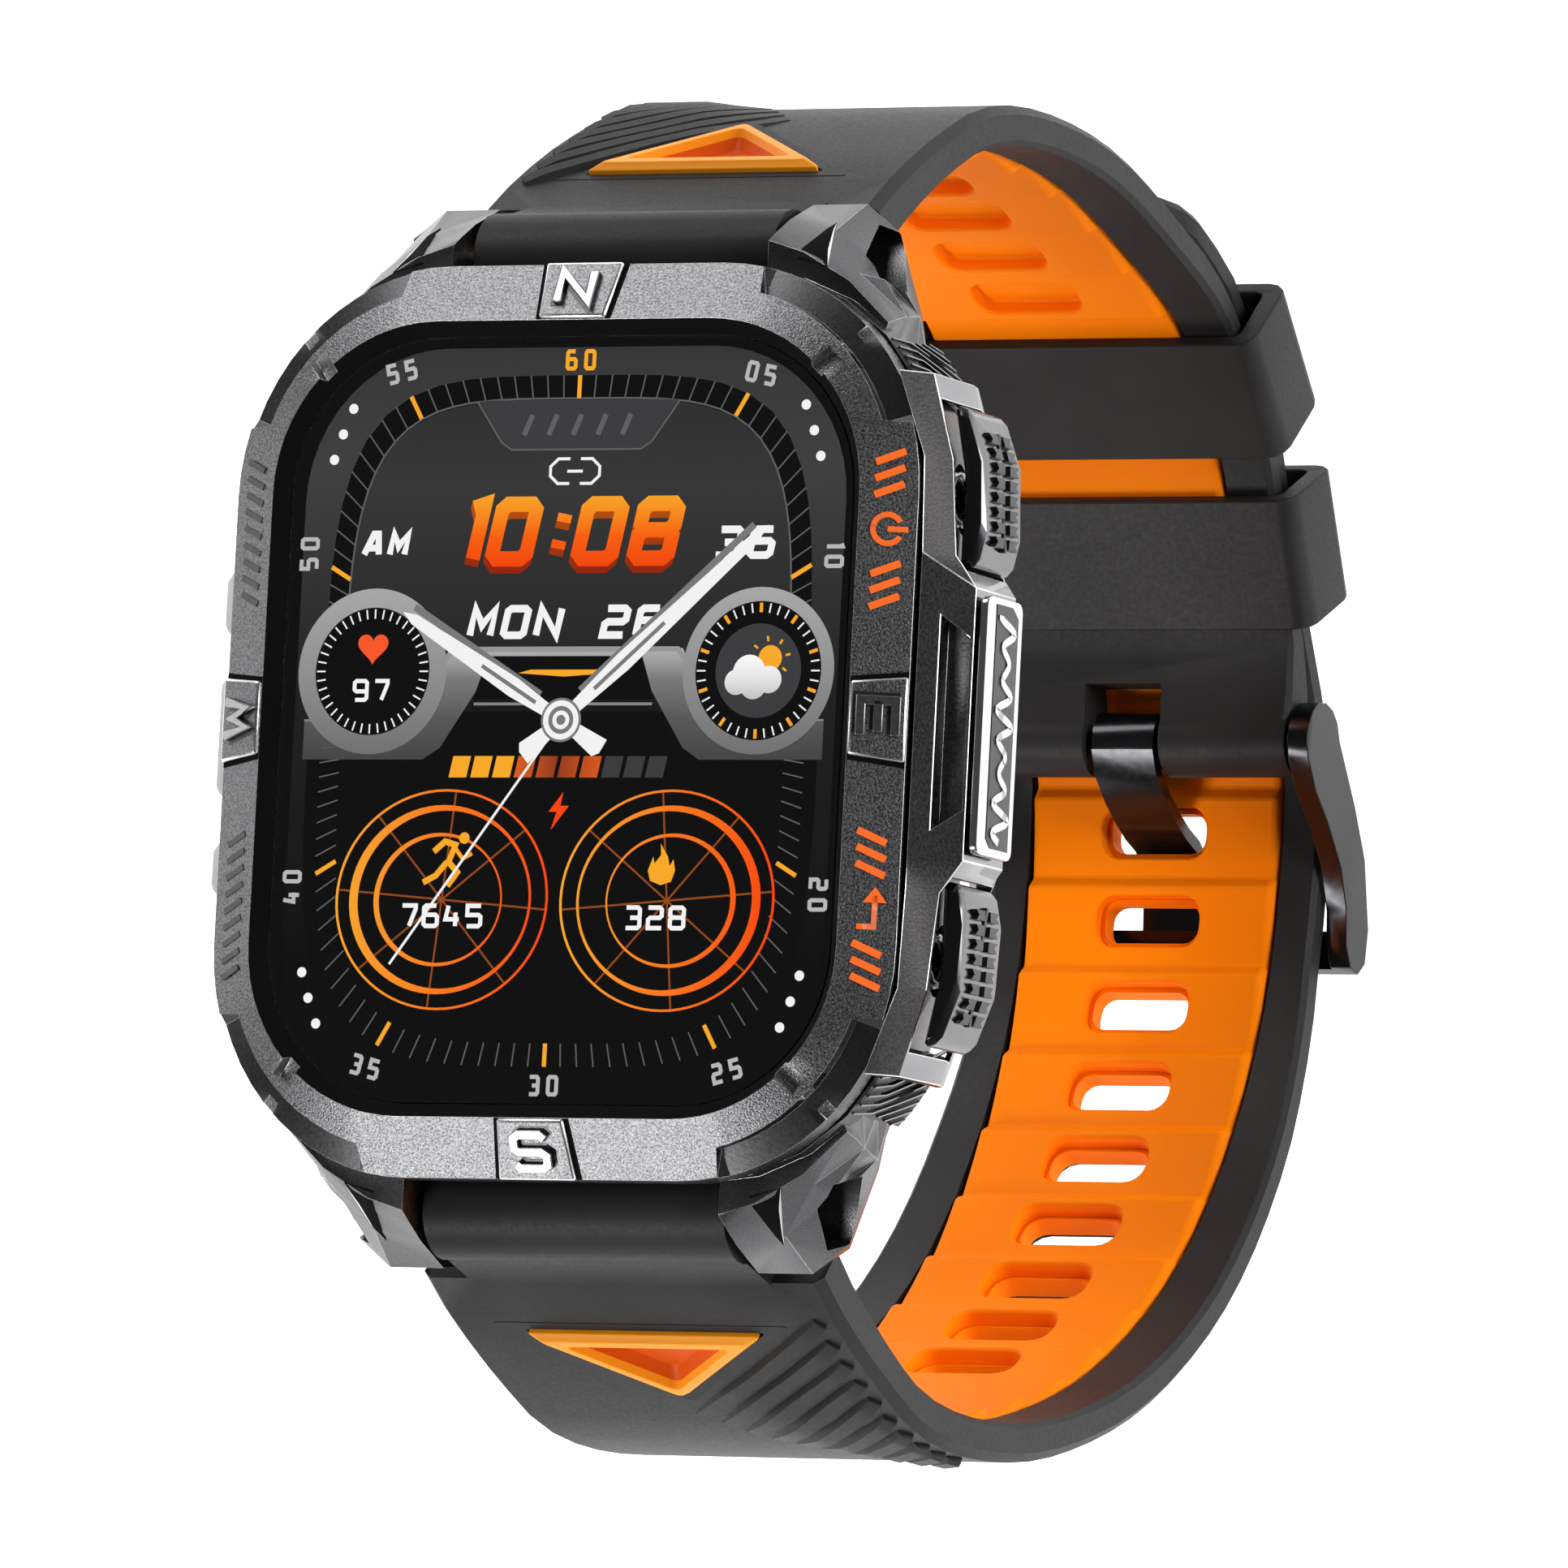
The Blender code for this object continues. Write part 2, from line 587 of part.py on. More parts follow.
def hole_cutter(name, line, s, depth=4.0):
    """Rounded slot square to the strap at arc length s."""
    here, along, _ = line.frame(s)
    across = Vector((1, 0, 0))
    forward = Vector((0, along.x, along.y))
    out = across.cross(forward)
    frame = Matrix((across, forward, out)).transposed().to_4x4()
    frame.translation = Vector((0, here.x, here.y)) * MM
    slot = rounded_rect(HOLE_SIZE[0] / 2, HOLE_SIZE[1] / 2, 1.2, 3)
    return flat_solid(name, [slot], -depth, depth, frame=frame)


def accent_frame(line, s, out):
    """Frame lying on the strap's outer face at arc length s, local Y along the strap."""
    here, along, normal = line.frame(s)
    forward = Vector((0, along.x, along.y))
    outward = Vector((0, normal.x, normal.y))
    across = forward.cross(outward)
    frame = Matrix((across, forward, outward)).transposed().to_4x4()
    frame.translation = (Vector((0, here.x, here.y)) + outward * out) * MM
    return frame


def add_accent(label, strap, line, s, thickness):
    """Raised triangular insert pointing along the strap, set in a pocket."""
    frame = accent_frame(line, s, thickness)
    body = [(-7.5, -3.1), (7.5, -3.1), (0.0, 3.3)]
    pocket = [(-8.5, -3.5), (8.5, -3.5), (0.0, 3.9)]
    cut(strap, flat_solid(label + "_pocket", [pocket], -0.95, 2.5, frame=frame))
    flat_solid(f"{label}_triangle", [body], -0.65, 0.75, "orange_rubber", frame=frame)


def make_lower_strap():
    """Half with the holes: runs from 6 o'clock under the wrist and outside the other half."""
    line = StrapLine(LOWER_LINE, 1)
    shoulder = line.nearest(-29.0, 0.1) + 0.4
    buckle = line.nearest(4.0, -68.9)
    keepers = line.nearest(15.8, -63.9)
    tip = line.total

    def thickness(s):
        return ramp(s, [(shoulder, 3.1), (shoulder + 12, 2.45), (buckle, 2.1), (keepers, 1.9)])

    def half(s):
        if s > tip - 5.0:
            return TAIL_HALF * math.sqrt(max(0.16, 1 - ((s - tip + 5.0) / 5.4) ** 2))
        return ramp(s, [(shoulder, SHOULDER_HALF), (shoulder + 50, 12.5), (buckle - 22, 11.9),
                        (buckle - 10, TAIL_HALF), (tip, TAIL_HALF)])

    stations = spread(shoulder, tip - 5.0) + [tip - 3.6, tip - 2.2, tip - 1.1, tip - 0.3, tip]
    strap = sweep("lower_strap", line, stations, lambda s: strap_section(half(s), thickness(s)),
                  "black_rubber")
    add_root(strap, line, "lower", -1, shoulder)
    liner_ends = (shoulder + 3.5, tip - 7.0)
    liner = add_liner(strap, line, "lower", liner_ends)
    add_accent("lower", strap, line, shoulder + 7.2, thickness(shoulder + 7.2))
    first_hole = line.nearest(2.3, -68.9)
    for k in range(HOLE_COUNT):
        s = first_hole + (3 - k) * HOLE_PITCH
        cutter = hole_cutter(f"hole_{k + 1}", line, s)
        cut(strap, cutter)
        cut(liner, cutter)


def make_upper_strap():
    """Half with the buckle: runs from 12 o'clock to the buckle tube."""
    line = StrapLine(UPPER_LINE, -1)
    shoulder = line.nearest(29.0, 0.1) + 0.4
    keepers = line.nearest(31.6, -50.3)

    def thickness(s):
        return ramp(s, [(shoulder, 3.1), (shoulder + 12, 2.45), (keepers - 6, 2.2), (keepers, 1.9),
                        (line.total - 7.0, 1.9), (line.total, 3.9)])

    def half(s):
        return ramp(s, [(shoulder, SHOULDER_HALF), (keepers - 4, 12.3), (keepers, 12.0),
                        (line.total - 5.0, 11.6), (line.total, TAIL_HALF)])

    stations = spread(shoulder, line.total)
    strap = sweep("upper_strap", line, stations, lambda s: strap_section(half(s), thickness(s)),
                  "black_rubber")
    add_root(strap, line, "upper", 1, shoulder)
    add_liner(strap, line, "upper", (shoulder + 3.5, line.nearest(18.0, -60.3)))
    add_accent("upper", strap, line, shoulder + 7.2, thickness(shoulder + 7.2))
    y, z = BUCKLE_AXIS
    tube = rod("buckle_tube", TUBE_RADIUS, -TAIL_HALF, TAIL_HALF, y, z)
    bore = rod("buckle_bore", 1.05, -TAIL_HALF - 2, TAIL_HALF + 2, y, z, segments=16)
    tang_slot = flat_solid("tang_slot", [[(4.0, -69.0), (11.2, -69.0), (11.2, -61.5), (4.0, -61.5)]],
                           -2.6, 2.6, frame=along_x(0, 0))
    cut(strap, tube, operation="UNION")
    cut(strap, bore, tang_slot)


def add_root(strap, line, label, side, shoulder):
    """Narrow neck between the lugs and the barrel round the spring bar."""
    half = BAND_WIDTH / 2 - 0.2
    neck_line = [(side * BAR_Y, BAR_Z + ROOT_RADIUS - 0.05), (side * 30.3, BAR_Z + 1.2)]
    inner_end = line.world(shoulder + 0.6, 0, 0.15)
    outer_end = line.world(shoulder + 0.6, 0, 2.9)
    outline = [*neck_line, (outer_end[1], outer_end[2]), (inner_end[1], inner_end[2]),
               (side * 26.0, BAR_Z - 2.0), (side * BAR_Y, BAR_Z)]
    if side > 0:
        outline.reverse()
    neck = flat_solid(label + "_neck", [outline], -half, half, frame=along_x(0, 0))
    barrel = rod(label + "_barrel", ROOT_RADIUS, -half, half, side * BAR_Y, BAR_Z)
    bore = rod(label + "_bore", BAR_RADIUS + GAP, -half - 1, half + 1, side * BAR_Y, BAR_Z, segments=16)
    cut(strap, neck, barrel, operation="UNION")
    cut(strap, bore)


def add_liner(strap, line, label, ends):
    """Coloured inlay on the wrist side and the pocket that it lies in."""
    low, high = ends
    pocket = [(-LINER_HALF - 0.25, -1.0), (LINER_HALF + 0.25, -1.0),
              (LINER_HALF + 0.25, LINER_THICK + 0.25), (-LINER_HALF - 0.25, LINER_THICK + 0.25)]
    inlay = [(-LINER_HALF, 0.0), (LINER_HALF, 0.0), (LINER_HALF, LINER_THICK),
             (-LINER_HALF, LINER_THICK)]
    cut(strap, sweep(label + "_liner_pocket", line, spread(low - 0.3, high + 0.3), lambda s: pocket))
    return sweep(label + "_liner", line, spread(low, high), lambda s: inlay, "orange_rubber")


# ---------------------------------------------------------------- spring bars, keepers, buckle

def make_spring_bar(name, side, tip):
    """Sprung bar with a shoulder and a thin pin at each end."""
    body = 9.3
    profile = [(0, tip), (BAR_TIP_RADIUS, tip), (BAR_TIP_RADIUS, body), (BAR_RADIUS, body),
               (BAR_RADIUS, -body), (BAR_TIP_RADIUS, -body), (BAR_TIP_RADIUS, -tip), (0, -tip)]
    turned(name, profile, along_x(side * BAR_Y, BAR_Z), "steel", 16)


def make_keeper(name, place):
    """Rectangular loop round both strap layers."""
    (y, z), (ty, tz) = place
    across = Vector((1, 0, 0))
    forward = Vector((0, ty, tz))
    outward = Vector((0, tz, -ty))
    frame = Matrix((across, outward, across.cross(outward))).transposed().to_4x4()
    frame.translation = (Vector((0, y, z)) + outward * KEEPER_HEIGHT / 2) * MM
    if across.cross(outward).dot(forward) > 0:
        low, high = 0.0, KEEPER_LENGTH
    else:
        low, high = -KEEPER_LENGTH, 0.0
    rim = rounded_rect(KEEPER_HALF, KEEPER_HEIGHT / 2, 1.3, 3)
    hole = rounded_rect(KEEPER_HALF - 1.3, KEEPER_HEIGHT / 2 - KEEPER_WALL, 0.5, 2)
    return flat_solid(name, [rim, hole], low, high, "black_rubber", frame=frame)


def buckle_side():
    """Arm outline in the YZ plane: round pivot end, then a drop to the front bar."""
    y, z = BUCKLE_AXIS
    pivot = [(y + 2.45 * math.cos(math.radians(a)), z + 2.45 * math.sin(math.radians(a)))
             for a in range(-80, 121, 25)]
    inner = [(4.6, -64.3), (2.9, -66.3), (0.3, -68.6), (-2.2, -69.7), (-4.4, -69.9)]
    front = [(-5.7, -70.7), (-6.0, -71.9), (-5.3, -72.8)]
    outer = [(-3.0, -73.1), (1.2, -72.1), (4.4, -70.2)]
    return pivot + inner + front + outer


def make_buckle():
    y, z = BUCKLE_AXIS
    low, high = BUCKLE_ARM
    frame = flat_solid("buckle_frame", [buckle_side()], -high, high, "dark_metal", frame=along_x(0, 0))
    opening = [(12.0, -60.0), (-4.4, -60.0), (-4.4, -70.85), (-3.4, -70.95), (-3.3, -74.5), (12.0, -74.5)]
    cut(frame, flat_solid("buckle_opening", [opening], -low, low, frame=along_x(0, 0)))
    front_clear = [(-8.0, -60.0), (-3.0, -60.0), (-3.0, -70.95), (-8.0, -70.95)]
    cut(frame, flat_solid("buckle_front_clear", [front_clear], -low, low, frame=along_x(0, 0)))
    notch = [(-8.0, -71.75), (-2.0, -71.75), (-2.0, -75.0), (-8.0, -75.0)]
    cut(frame, flat_solid("tang_notch", [notch], -TANG_HALF - 0.4, TANG_HALF + 0.4, frame=along_x(0, 0)))
    reach = BUCKLE_BAR_HALF + GAP
    cut(frame, rod("arm_bore", BUCKLE_BAR_RADIUS + 0.25, -reach, reach, y, z, segments=16))
    rod("buckle_bar", BUCKLE_BAR_RADIUS, -BUCKLE_BAR_HALF, BUCKLE_BAR_HALF, y, z, "steel", 16)
    make_tang()


def make_tang():
    """Flat tongue: a ring round the bar, an S-bend through the strap, a tip on the front bar."""
    y, z = BUCKLE_AXIS
    centre = [(7.3, -63.55), (5.7, -64.3), (4.3, -65.9), (3.2, -67.6), (2.45, -69.0), (1.85, -70.6),
              (0.9, -71.8), (-0.8, -72.3), (-3.0, -72.45), (-5.4, -72.45)]
    half = 0.42
    left, right = [], []
    for k, here in enumerate(centre):
        before = Vector(centre[max(k - 1, 0)])
        after = Vector(centre[min(k + 1, len(centre) - 1)])
        along = (after - before).normalized()
        side = Vector((-along.y, along.x)) * half
        left.append(tuple(Vector(here) + side))
        right.append(tuple(Vector(here) - side))
    tang = flat_solid("buckle_tang", [left + right[::-1]], -TANG_HALF, TANG_HALF, "dark_metal",
                      frame=along_x(0, 0))
    cut(tang, rod("tang_eye", 1.85, -TANG_HALF, TANG_HALF, y, z, segments=20), operation="UNION")
    cut(tang, rod("tang_bore", 1.05, -TANG_HALF - 1, TANG_HALF + 1, y, z, segments=16))


def main():
    make_bezel()
    make_front_stack()
    make_mid_case()
    make_back()
    make_electronics()
    make_vibration_unit()
    make_right_side()
    make_left_guard()
    make_upper_strap()
    make_lower_strap()
    make_spring_bar("spring_bar_12", 1, 12.0)
    make_spring_bar("spring_bar_6", -1, 10.0)
    make_keeper("fixed_keeper", FIXED_KEEPER)
    make_keeper("free_keeper", FREE_KEEPER)
    make_buckle()


clear_scene()
PARTS = new_collection("gps_running_watch")
CUTTERS = new_collection("cutters")
main()
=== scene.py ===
"""Looks of the rugged GPS running watch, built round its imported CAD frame."""
import math

import bmesh
import bpy
from mathutils import Matrix, Vector


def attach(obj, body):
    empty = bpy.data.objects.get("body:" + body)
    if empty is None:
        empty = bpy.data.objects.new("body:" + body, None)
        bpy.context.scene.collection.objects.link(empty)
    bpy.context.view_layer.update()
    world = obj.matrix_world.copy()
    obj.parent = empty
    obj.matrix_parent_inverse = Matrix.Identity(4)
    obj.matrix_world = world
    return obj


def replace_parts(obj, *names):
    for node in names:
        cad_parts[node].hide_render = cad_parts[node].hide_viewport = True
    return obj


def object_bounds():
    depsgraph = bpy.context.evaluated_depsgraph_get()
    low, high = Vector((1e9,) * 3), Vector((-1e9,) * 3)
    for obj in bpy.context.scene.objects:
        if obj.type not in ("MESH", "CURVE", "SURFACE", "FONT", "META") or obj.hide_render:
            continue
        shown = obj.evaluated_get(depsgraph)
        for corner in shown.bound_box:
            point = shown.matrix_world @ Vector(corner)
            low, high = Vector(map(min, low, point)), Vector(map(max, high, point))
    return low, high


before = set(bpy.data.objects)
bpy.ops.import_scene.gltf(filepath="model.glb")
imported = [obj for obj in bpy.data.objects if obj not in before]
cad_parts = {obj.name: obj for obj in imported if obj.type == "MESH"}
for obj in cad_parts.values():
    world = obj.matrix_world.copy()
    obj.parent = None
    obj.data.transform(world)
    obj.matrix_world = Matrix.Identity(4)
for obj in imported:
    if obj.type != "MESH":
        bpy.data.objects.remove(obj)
CAD_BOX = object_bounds()
MM = 0.001


# ---------------------------------------------------------------- materials

def new_material(name, base, rough, metal=0.0, **sockets):
    """Principled material; returns it with its node tree and shader."""
    made = bpy.data.materials.new(name)
    made.use_nodes = True
    shader = made.node_tree.nodes["Principled BSDF"]
    shader.inputs["Base Color"].default_value = (*base, 1)
    shader.inputs["Roughness"].default_value = rough
    shader.inputs["Metallic"].default_value = metal
    for socket, value in sockets.items():
        shader.inputs[socket.replace("_", " ")].default_value = value
    return made, made.node_tree, shader


def noise(tree, scale, detail):
    """Noise over object space (metres); returns its value socket."""
    place = tree.nodes.new("ShaderNodeTexCoord")
    texture = tree.nodes.new("ShaderNodeTexNoise")
    texture.inputs["Scale"].default_value = scale
    texture.inputs["Detail"].default_value = detail
    tree.links.new(place.outputs["Object"], texture.inputs["Vector"])
    return texture.outputs["Fac"]


def ramp(tree, source, stops, target):
    """Colour ramp from a value socket into a target socket; stops are (position, grey or colour)."""
    node = tree.nodes.new("ShaderNodeValToRGB")
    elements = node.color_ramp.elements
    while len(elements) < len(stops):
        elements.new(0.5)
    for element, (position, colour) in zip(elements, stops):
        element.position = position
        element.color = (*colour, 1) if isinstance(colour, tuple) else (colour, colour, colour, 1)
    tree.links.new(source, node.inputs["Fac"])
    tree.links.new(node.outputs["Color"], target)


def add_bump(tree, shader, source, strength, distance):
    bump = tree.nodes.new("ShaderNodeBump")
    bump.inputs["Strength"].default_value = strength
    bump.inputs["Distance"].default_value = distance
    tree.links.new(source, bump.inputs["Height"])
    tree.links.new(bump.outputs["Normal"], shader.inputs["Normal"])


def grainy(name, base, rough, metal, grain, depth, spread, tint=0.15, speckle=False, **sockets):
    """Metal, rubber or plastic with fine surface grain and slightly uneven gloss and colour."""
    made, tree, shader = new_material(name, base, rough, metal, **sockets)
    fine = noise(tree, grain, 4.0)
    broad = noise(tree, 120, 2.0)
    ramp(tree, fine, [(0.25, rough - spread), (0.75, rough + spread)], shader.inputs["Roughness"])
    low = tuple(channel * (1 - tint) for channel in base)
    high = tuple(min(1.0, channel * (1 + tint)) for channel in base)
    ramp(tree, fine if speckle else broad, [(0.36, low), (0.64, high)], shader.inputs["Base Color"])
    add_bump(tree, shader, fine, depth, 0.00005 if speckle else 0.00003)
    return made


def ink(name, stops, axis=None, low=0.0, high=1.0):
    """Lit display colour, plain or a gradient along an axis between two places in mm."""
    made, tree, shader = new_material(name, (0.0, 0.0, 0.0), 0.6)
    shader.inputs["Emission Strength"].default_value = 1.0
    shader.inputs["Specular IOR Level"].default_value = 0.0
    if axis is None:
        shader.inputs["Emission Color"].default_value = (*stops, 1)
        return made
    place = tree.nodes.new("ShaderNodeTexCoord")
    split = tree.nodes.new("ShaderNodeSeparateXYZ")
    span = tree.nodes.new("ShaderNodeMapRange")
    span.inputs["From Min"].default_value = low * MM
    span.inputs["From Max"].default_value = high * MM
    tree.links.new(place.outputs["Object"], split.inputs[0])
    tree.links.new(split.outputs[axis], span.inputs["Value"])
    ramp(tree, span.outputs["Result"], stops, shader.inputs["Emission Color"])
    return made


M = {
    "bezel": grainy("bezel_blasted", (0.16, 0.16, 0.165), 0.35, 0.97, 8500, 0.75, 0.07, 0.5, speckle=True),
    "band": grainy("bezel_band", (0.09, 0.09, 0.093), 0.27, 0.97, 5200, 0.15, 0.04, 0.08),
    "edge": grainy("bezel_polished_edge", (0.72, 0.72, 0.73), 0.26, 1.0, 3000, 0.1, 0.05),
    "case": grainy("case_satin", (0.1, 0.1, 0.104), 0.3, 0.97, 9000, 0.35, 0.05, 0.14, speckle=True),
    "guard": grainy("guard_front", (0.035, 0.033, 0.033), 0.4, 0.7, 6000, 0.5, 0.06, 0.3, speckle=True),
    "letter": grainy("letter_steel", (0.25, 0.25, 0.256), 0.28, 1.0, 3000, 0.08, 0.04, 0.05),
    "flank": grainy("guard_side", (0.26, 0.26, 0.27), 0.16, 1.0, 2500, 0.08, 0.04, 0.05),
    "button": grainy("button_steel", (0.17, 0.17, 0.175), 0.2, 1.0, 2500, 0.1, 0.05, 0.05),
    "dark": grainy("dark_polish", (0.035, 0.035, 0.038), 0.22, 0.9, 2500, 0.1, 0.05),
    "chrome": grainy("guard_chrome", (0.58, 0.58, 0.6), 0.13, 1.0, 2500, 0.08, 0.04, 0.05),
    "rubber": grainy("strap_black", (0.02, 0.02, 0.0205), 0.5, 0.0, 3600, 0.25, 0.06, 0.12,
                     Specular_IOR_Level=0.14),
    "liner": grainy("strap_orange", (1.0, 0.225, 0.0), 0.55, 0.0, 3600, 0.2, 0.06, 0.04,
                    Specular_IOR_Level=0.06),
    "accent": grainy("accent_orange", (1.0, 0.33, 0.005), 0.4, 0.0, 3000, 0.12, 0.05, 0.04,
                     Specular_IOR_Level=0.25),
    "label": grainy("label_orange", (1.0, 0.15, 0.01), 0.45, 0.0, 3000, 0.1, 0.05, 0.05),
    "plastic": grainy("side_grey", (0.3, 0.3, 0.31), 0.42, 0.2, 3000, 0.3, 0.07),
    # painted shade: matt near-black for the bezel's inner chamfer, the slot round each compass pad and the
    # lug hollows, where shade falls
    "painted_shade": grainy("painted_shade_black", (0.004, 0.004, 0.004), 0.8, 0.0, 3000, 0.1, 0.05,
                  Specular_IOR_Level=0.05),
    # painted shade: darker orange for the floor of the accent's hollow
    "accent_shade": grainy("accent_hollow_shade", (0.7, 0.09, 0.0), 0.45, 0.0, 3000, 0.12, 0.05, 0.04,
                   Specular_IOR_Level=0.2),
    "black": grainy("black_satin", (0.012, 0.012, 0.013), 0.35, 0.0, 3000, 0.2, 0.06),
    "steel": grainy("brushed_steel", (0.5, 0.5, 0.52), 0.26, 1.0, 1800, 0.12, 0.06),
    "gold": grainy("gold_plate", (0.83, 0.58, 0.22), 0.2, 1.0, 1800, 0.08, 0.05),
    "board": grainy("circuit_board", (0.01, 0.1, 0.05), 0.45, 0.0, 900, 0.2, 0.08, 0.3),
    "foil": grainy("battery_foil", (0.4, 0.41, 0.43), 0.33, 0.8, 700, 0.4, 0.08),
    "ceramic": grainy("antenna_ceramic", (0.7, 0.6, 0.45), 0.55, 0.0, 1500, 0.2, 0.06),
}


def glass_material():
    made, tree, shader = new_material("cover_glass", (1, 1, 1), 0.01, IOR=1.45)
    shader.inputs["Transmission Weight"].default_value = 1.0
    smudge = noise(tree, 60, 2.0)
    ramp(tree, smudge, [(0.4, 0.0), (0.8, 0.03)], shader.inputs["Roughness"])
    return made


M["glass"] = glass_material()
M["lens"] = grainy("sensor_lens", (0.012, 0.012, 0.015), 0.06, 0.0, 900, 0.02, 0.02)


# ---------------------------------------------------------------- mesh helpers

def finish_mesh(name, solid, materials, body, smooth=35):
    """Turn a bmesh in mm into an object, which rides on a body if one is given."""
    bmesh.ops.remove_doubles(solid, verts=solid.verts, dist=1e-5)
    bmesh.ops.recalc_face_normals(solid, faces=solid.faces)
    bmesh.ops.scale(solid, vec=(MM, MM, MM), verts=solid.verts)
    mesh = bpy.data.meshes.new(name)
    solid.to_mesh(mesh)
    solid.free()
    obj = bpy.data.objects.new(name, mesh)
    bpy.context.scene.collection.objects.link(obj)
    for made in materials:
        mesh.materials.append(made)
    mesh.shade_smooth()
    mesh.set_sharp_from_angle(angle=math.radians(smooth))
    if body:
        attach(obj, body)
    return obj


def add_bevel(obj, width, segments, angle, edge_material=None):
    modifier = obj.modifiers.new("edges", "BEVEL")
    modifier.width = width * MM
    modifier.segments = segments
    modifier.limit_method = "ANGLE"
    modifier.angle_limit = math.radians(angle)
    modifier.harden_normals = False
    if edge_material is not None:
        modifier.material = edge_material


def skin(solid, rings, closed_stack=False, caps=True):
    """Quads between equal-length closed rings of points in mm."""
    rows = [[solid.verts.new(point) for point in ring] for ring in rings]
    count = len(rows[0])
    pairs = list(zip(rows, rows[1:]))
    if closed_stack:
        pairs.append((rows[-1], rows[0]))
    for lower, upper in pairs:
        for k in range(count):
            following = (k + 1) % count
            solid.faces.new((lower[k], lower[following], upper[following], upper[k]))
    if caps and not closed_stack:
        solid.faces.new(rows[0][::-1])
        solid.faces.new(rows[-1])


def slab(solid, outline, place, low, high):
    """Prism from a flat outline; place maps (u, v, w) to a point in mm."""
    bottom = [solid.verts.new(place(u, v, low)) for u, v in outline]
    top = [solid.verts.new(place(u, v, high)) for u, v in outline]
    count = len(outline)
    solid.faces.new(bottom[::-1])
    solid.faces.new(top)
    for k in range(count):
        n = (k + 1) % count
        solid.faces.new((bottom[k], bottom[n], top[n], top[k]))


def carve(obj, cutter):
    """Cut one object's shape out of another at once, and delete the cutter."""
    modifier = obj.modifiers.new("cut", "BOOLEAN")
    modifier.operation = "DIFFERENCE"
    modifier.solver = "EXACT"
    modifier.object = cutter
    bpy.context.view_layer.update()
    graph = bpy.context.evaluated_depsgraph_get()
    mesh = bpy.data.meshes.new_from_object(obj.evaluated_get(graph))
    obj.modifiers.remove(modifier)
    obj.data = mesh
    bpy.data.objects.remove(cutter, do_unlink=True)


def corners():
    """The four corners, as (sign of x, sign of y, name)."""
    for sx, across in ((1, "right"), (-1, "left")):
        for sy, hour in ((1, "12"), (-1, "6")):
            yield sx, sy, f"{across}_{hour}"


def dress(node, *names, bevel=None, segments=2, angle=32, edge_material=None, sharp=38):
    """Give a CAD node its final materials, and rounded edges where a width in mm is given."""
    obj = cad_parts[node]
    obj.data.materials.clear()
    for name in names:
        obj.data.materials.append(M[name])
    obj.data.shade_smooth()
    weld = obj.modifiers.new("weld", "WELD")
    weld.merge_threshold = 0.002 * MM
    if bevel:
        add_bevel(obj, bevel, segments, angle, edge_material)
        obj.modifiers.new("normals", "WEIGHTED_NORMAL").keep_sharp = True
    split = obj.modifiers.new("sharp", "EDGE_SPLIT")
    split.split_angle = math.radians(sharp)
    return obj


# ---------------------------------------------------------------- bezel

CORNER = (8.8, 13.2)              # centre of every bezel corner arc
GLASS_EDGE = (18.3, 22.45)        # half width and height of the glass opening
INNER_EDGE = (19.1, 23.3)         # of the inner top edge
OUTER_EDGE = (22.2, 26.74)        # of the outer side
CHAMFER_EDGE = (18.95, 23.15)     # of the end of the painted shade on the inner chamfer, inside these arcs
CHAMFER_CORNER = (8.9, 13.1)
CHAMFER_RADIUS = 10.15
TOP = 14.5                        # height of the inner top edge
RIM = 13.0                        # height of the outer top edge
STEP_SPAN = (17.5, 78.5)          # degrees of each corner arc where the outer edge is cut back
STEP_WIDTH = 1.55
STEP_DROP = 0.75
STEP_RADIUS = 11.88               # from the arc centre, where the smooth band starts
GROOVE_FALL = 0.48                # how fast a diagonal slot goes down, per mm outward
BLASTED, POLISHED, SHADED_CHAMFER, BAND = range(4)  # material slots of the bezel ring; the chamfer slot holds painted shade


def ring_stations():
    """Stations once round the bezel, as (quadrant, degrees); past 90, the decimals count a side."""
    first, last = STEP_SPAN
    arc = [0, 6, 12, first - 0.01, first + 2.6, 25, 31, 37, 43, 49, 55, 61, 67, 72,
           last - 2.6, last + 0.01, 84, 90]
    stations = []
    for quadrant in range(4):
        order = arc if quadrant % 2 == 0 else [90 - angle for angle in arc[::-1]]
        for angle in order:
            stations.append((quadrant, angle))
        for share in (0.2, 0.4, 0.6, 0.8):
            stations.append((quadrant, 90 + share))
    return stations


def bezel_point(quadrant, angle, half_x, half_y):
    """Point on the offset outline with these half sizes."""
    cx, cy = CORNER
    share = max(0.0, angle - 90)
    turn = math.radians(90 * quadrant + min(angle, 90))
    sx = 1 if quadrant in (0, 3) else -1
    sy = 1 if quadrant in (0, 1) else -1
    x = sx * cx + (half_x - cx) * math.cos(turn)
    y = sy * cy + (half_y - cy) * math.sin(turn)
    if quadrant % 2 == 0:
        x -= sx * 2 * cx * share
    else:
        y -= sy * 2 * cy * share
    return x, y


def corner_angle(quadrant, angle):
    """Angle above the X axis inside the corner, or None on a straight side."""
    if angle > 90:
        return None
    return angle if quadrant % 2 == 0 else 90 - angle


def slope_height(half_x):
    """Height of the sloping top face where the outline's half width is half_x."""
    return TOP - (TOP - RIM) * (half_x - INNER_EDGE[0]) / (OUTER_EDGE[0] - INNER_EDGE[0])


def past_corner(centre, corner):
    """How far a point lies beyond the corner centre of its quadrant, in x and y."""
    return max(abs(centre.x) - corner[0], 0), max(abs(centre.y) - corner[1], 0)


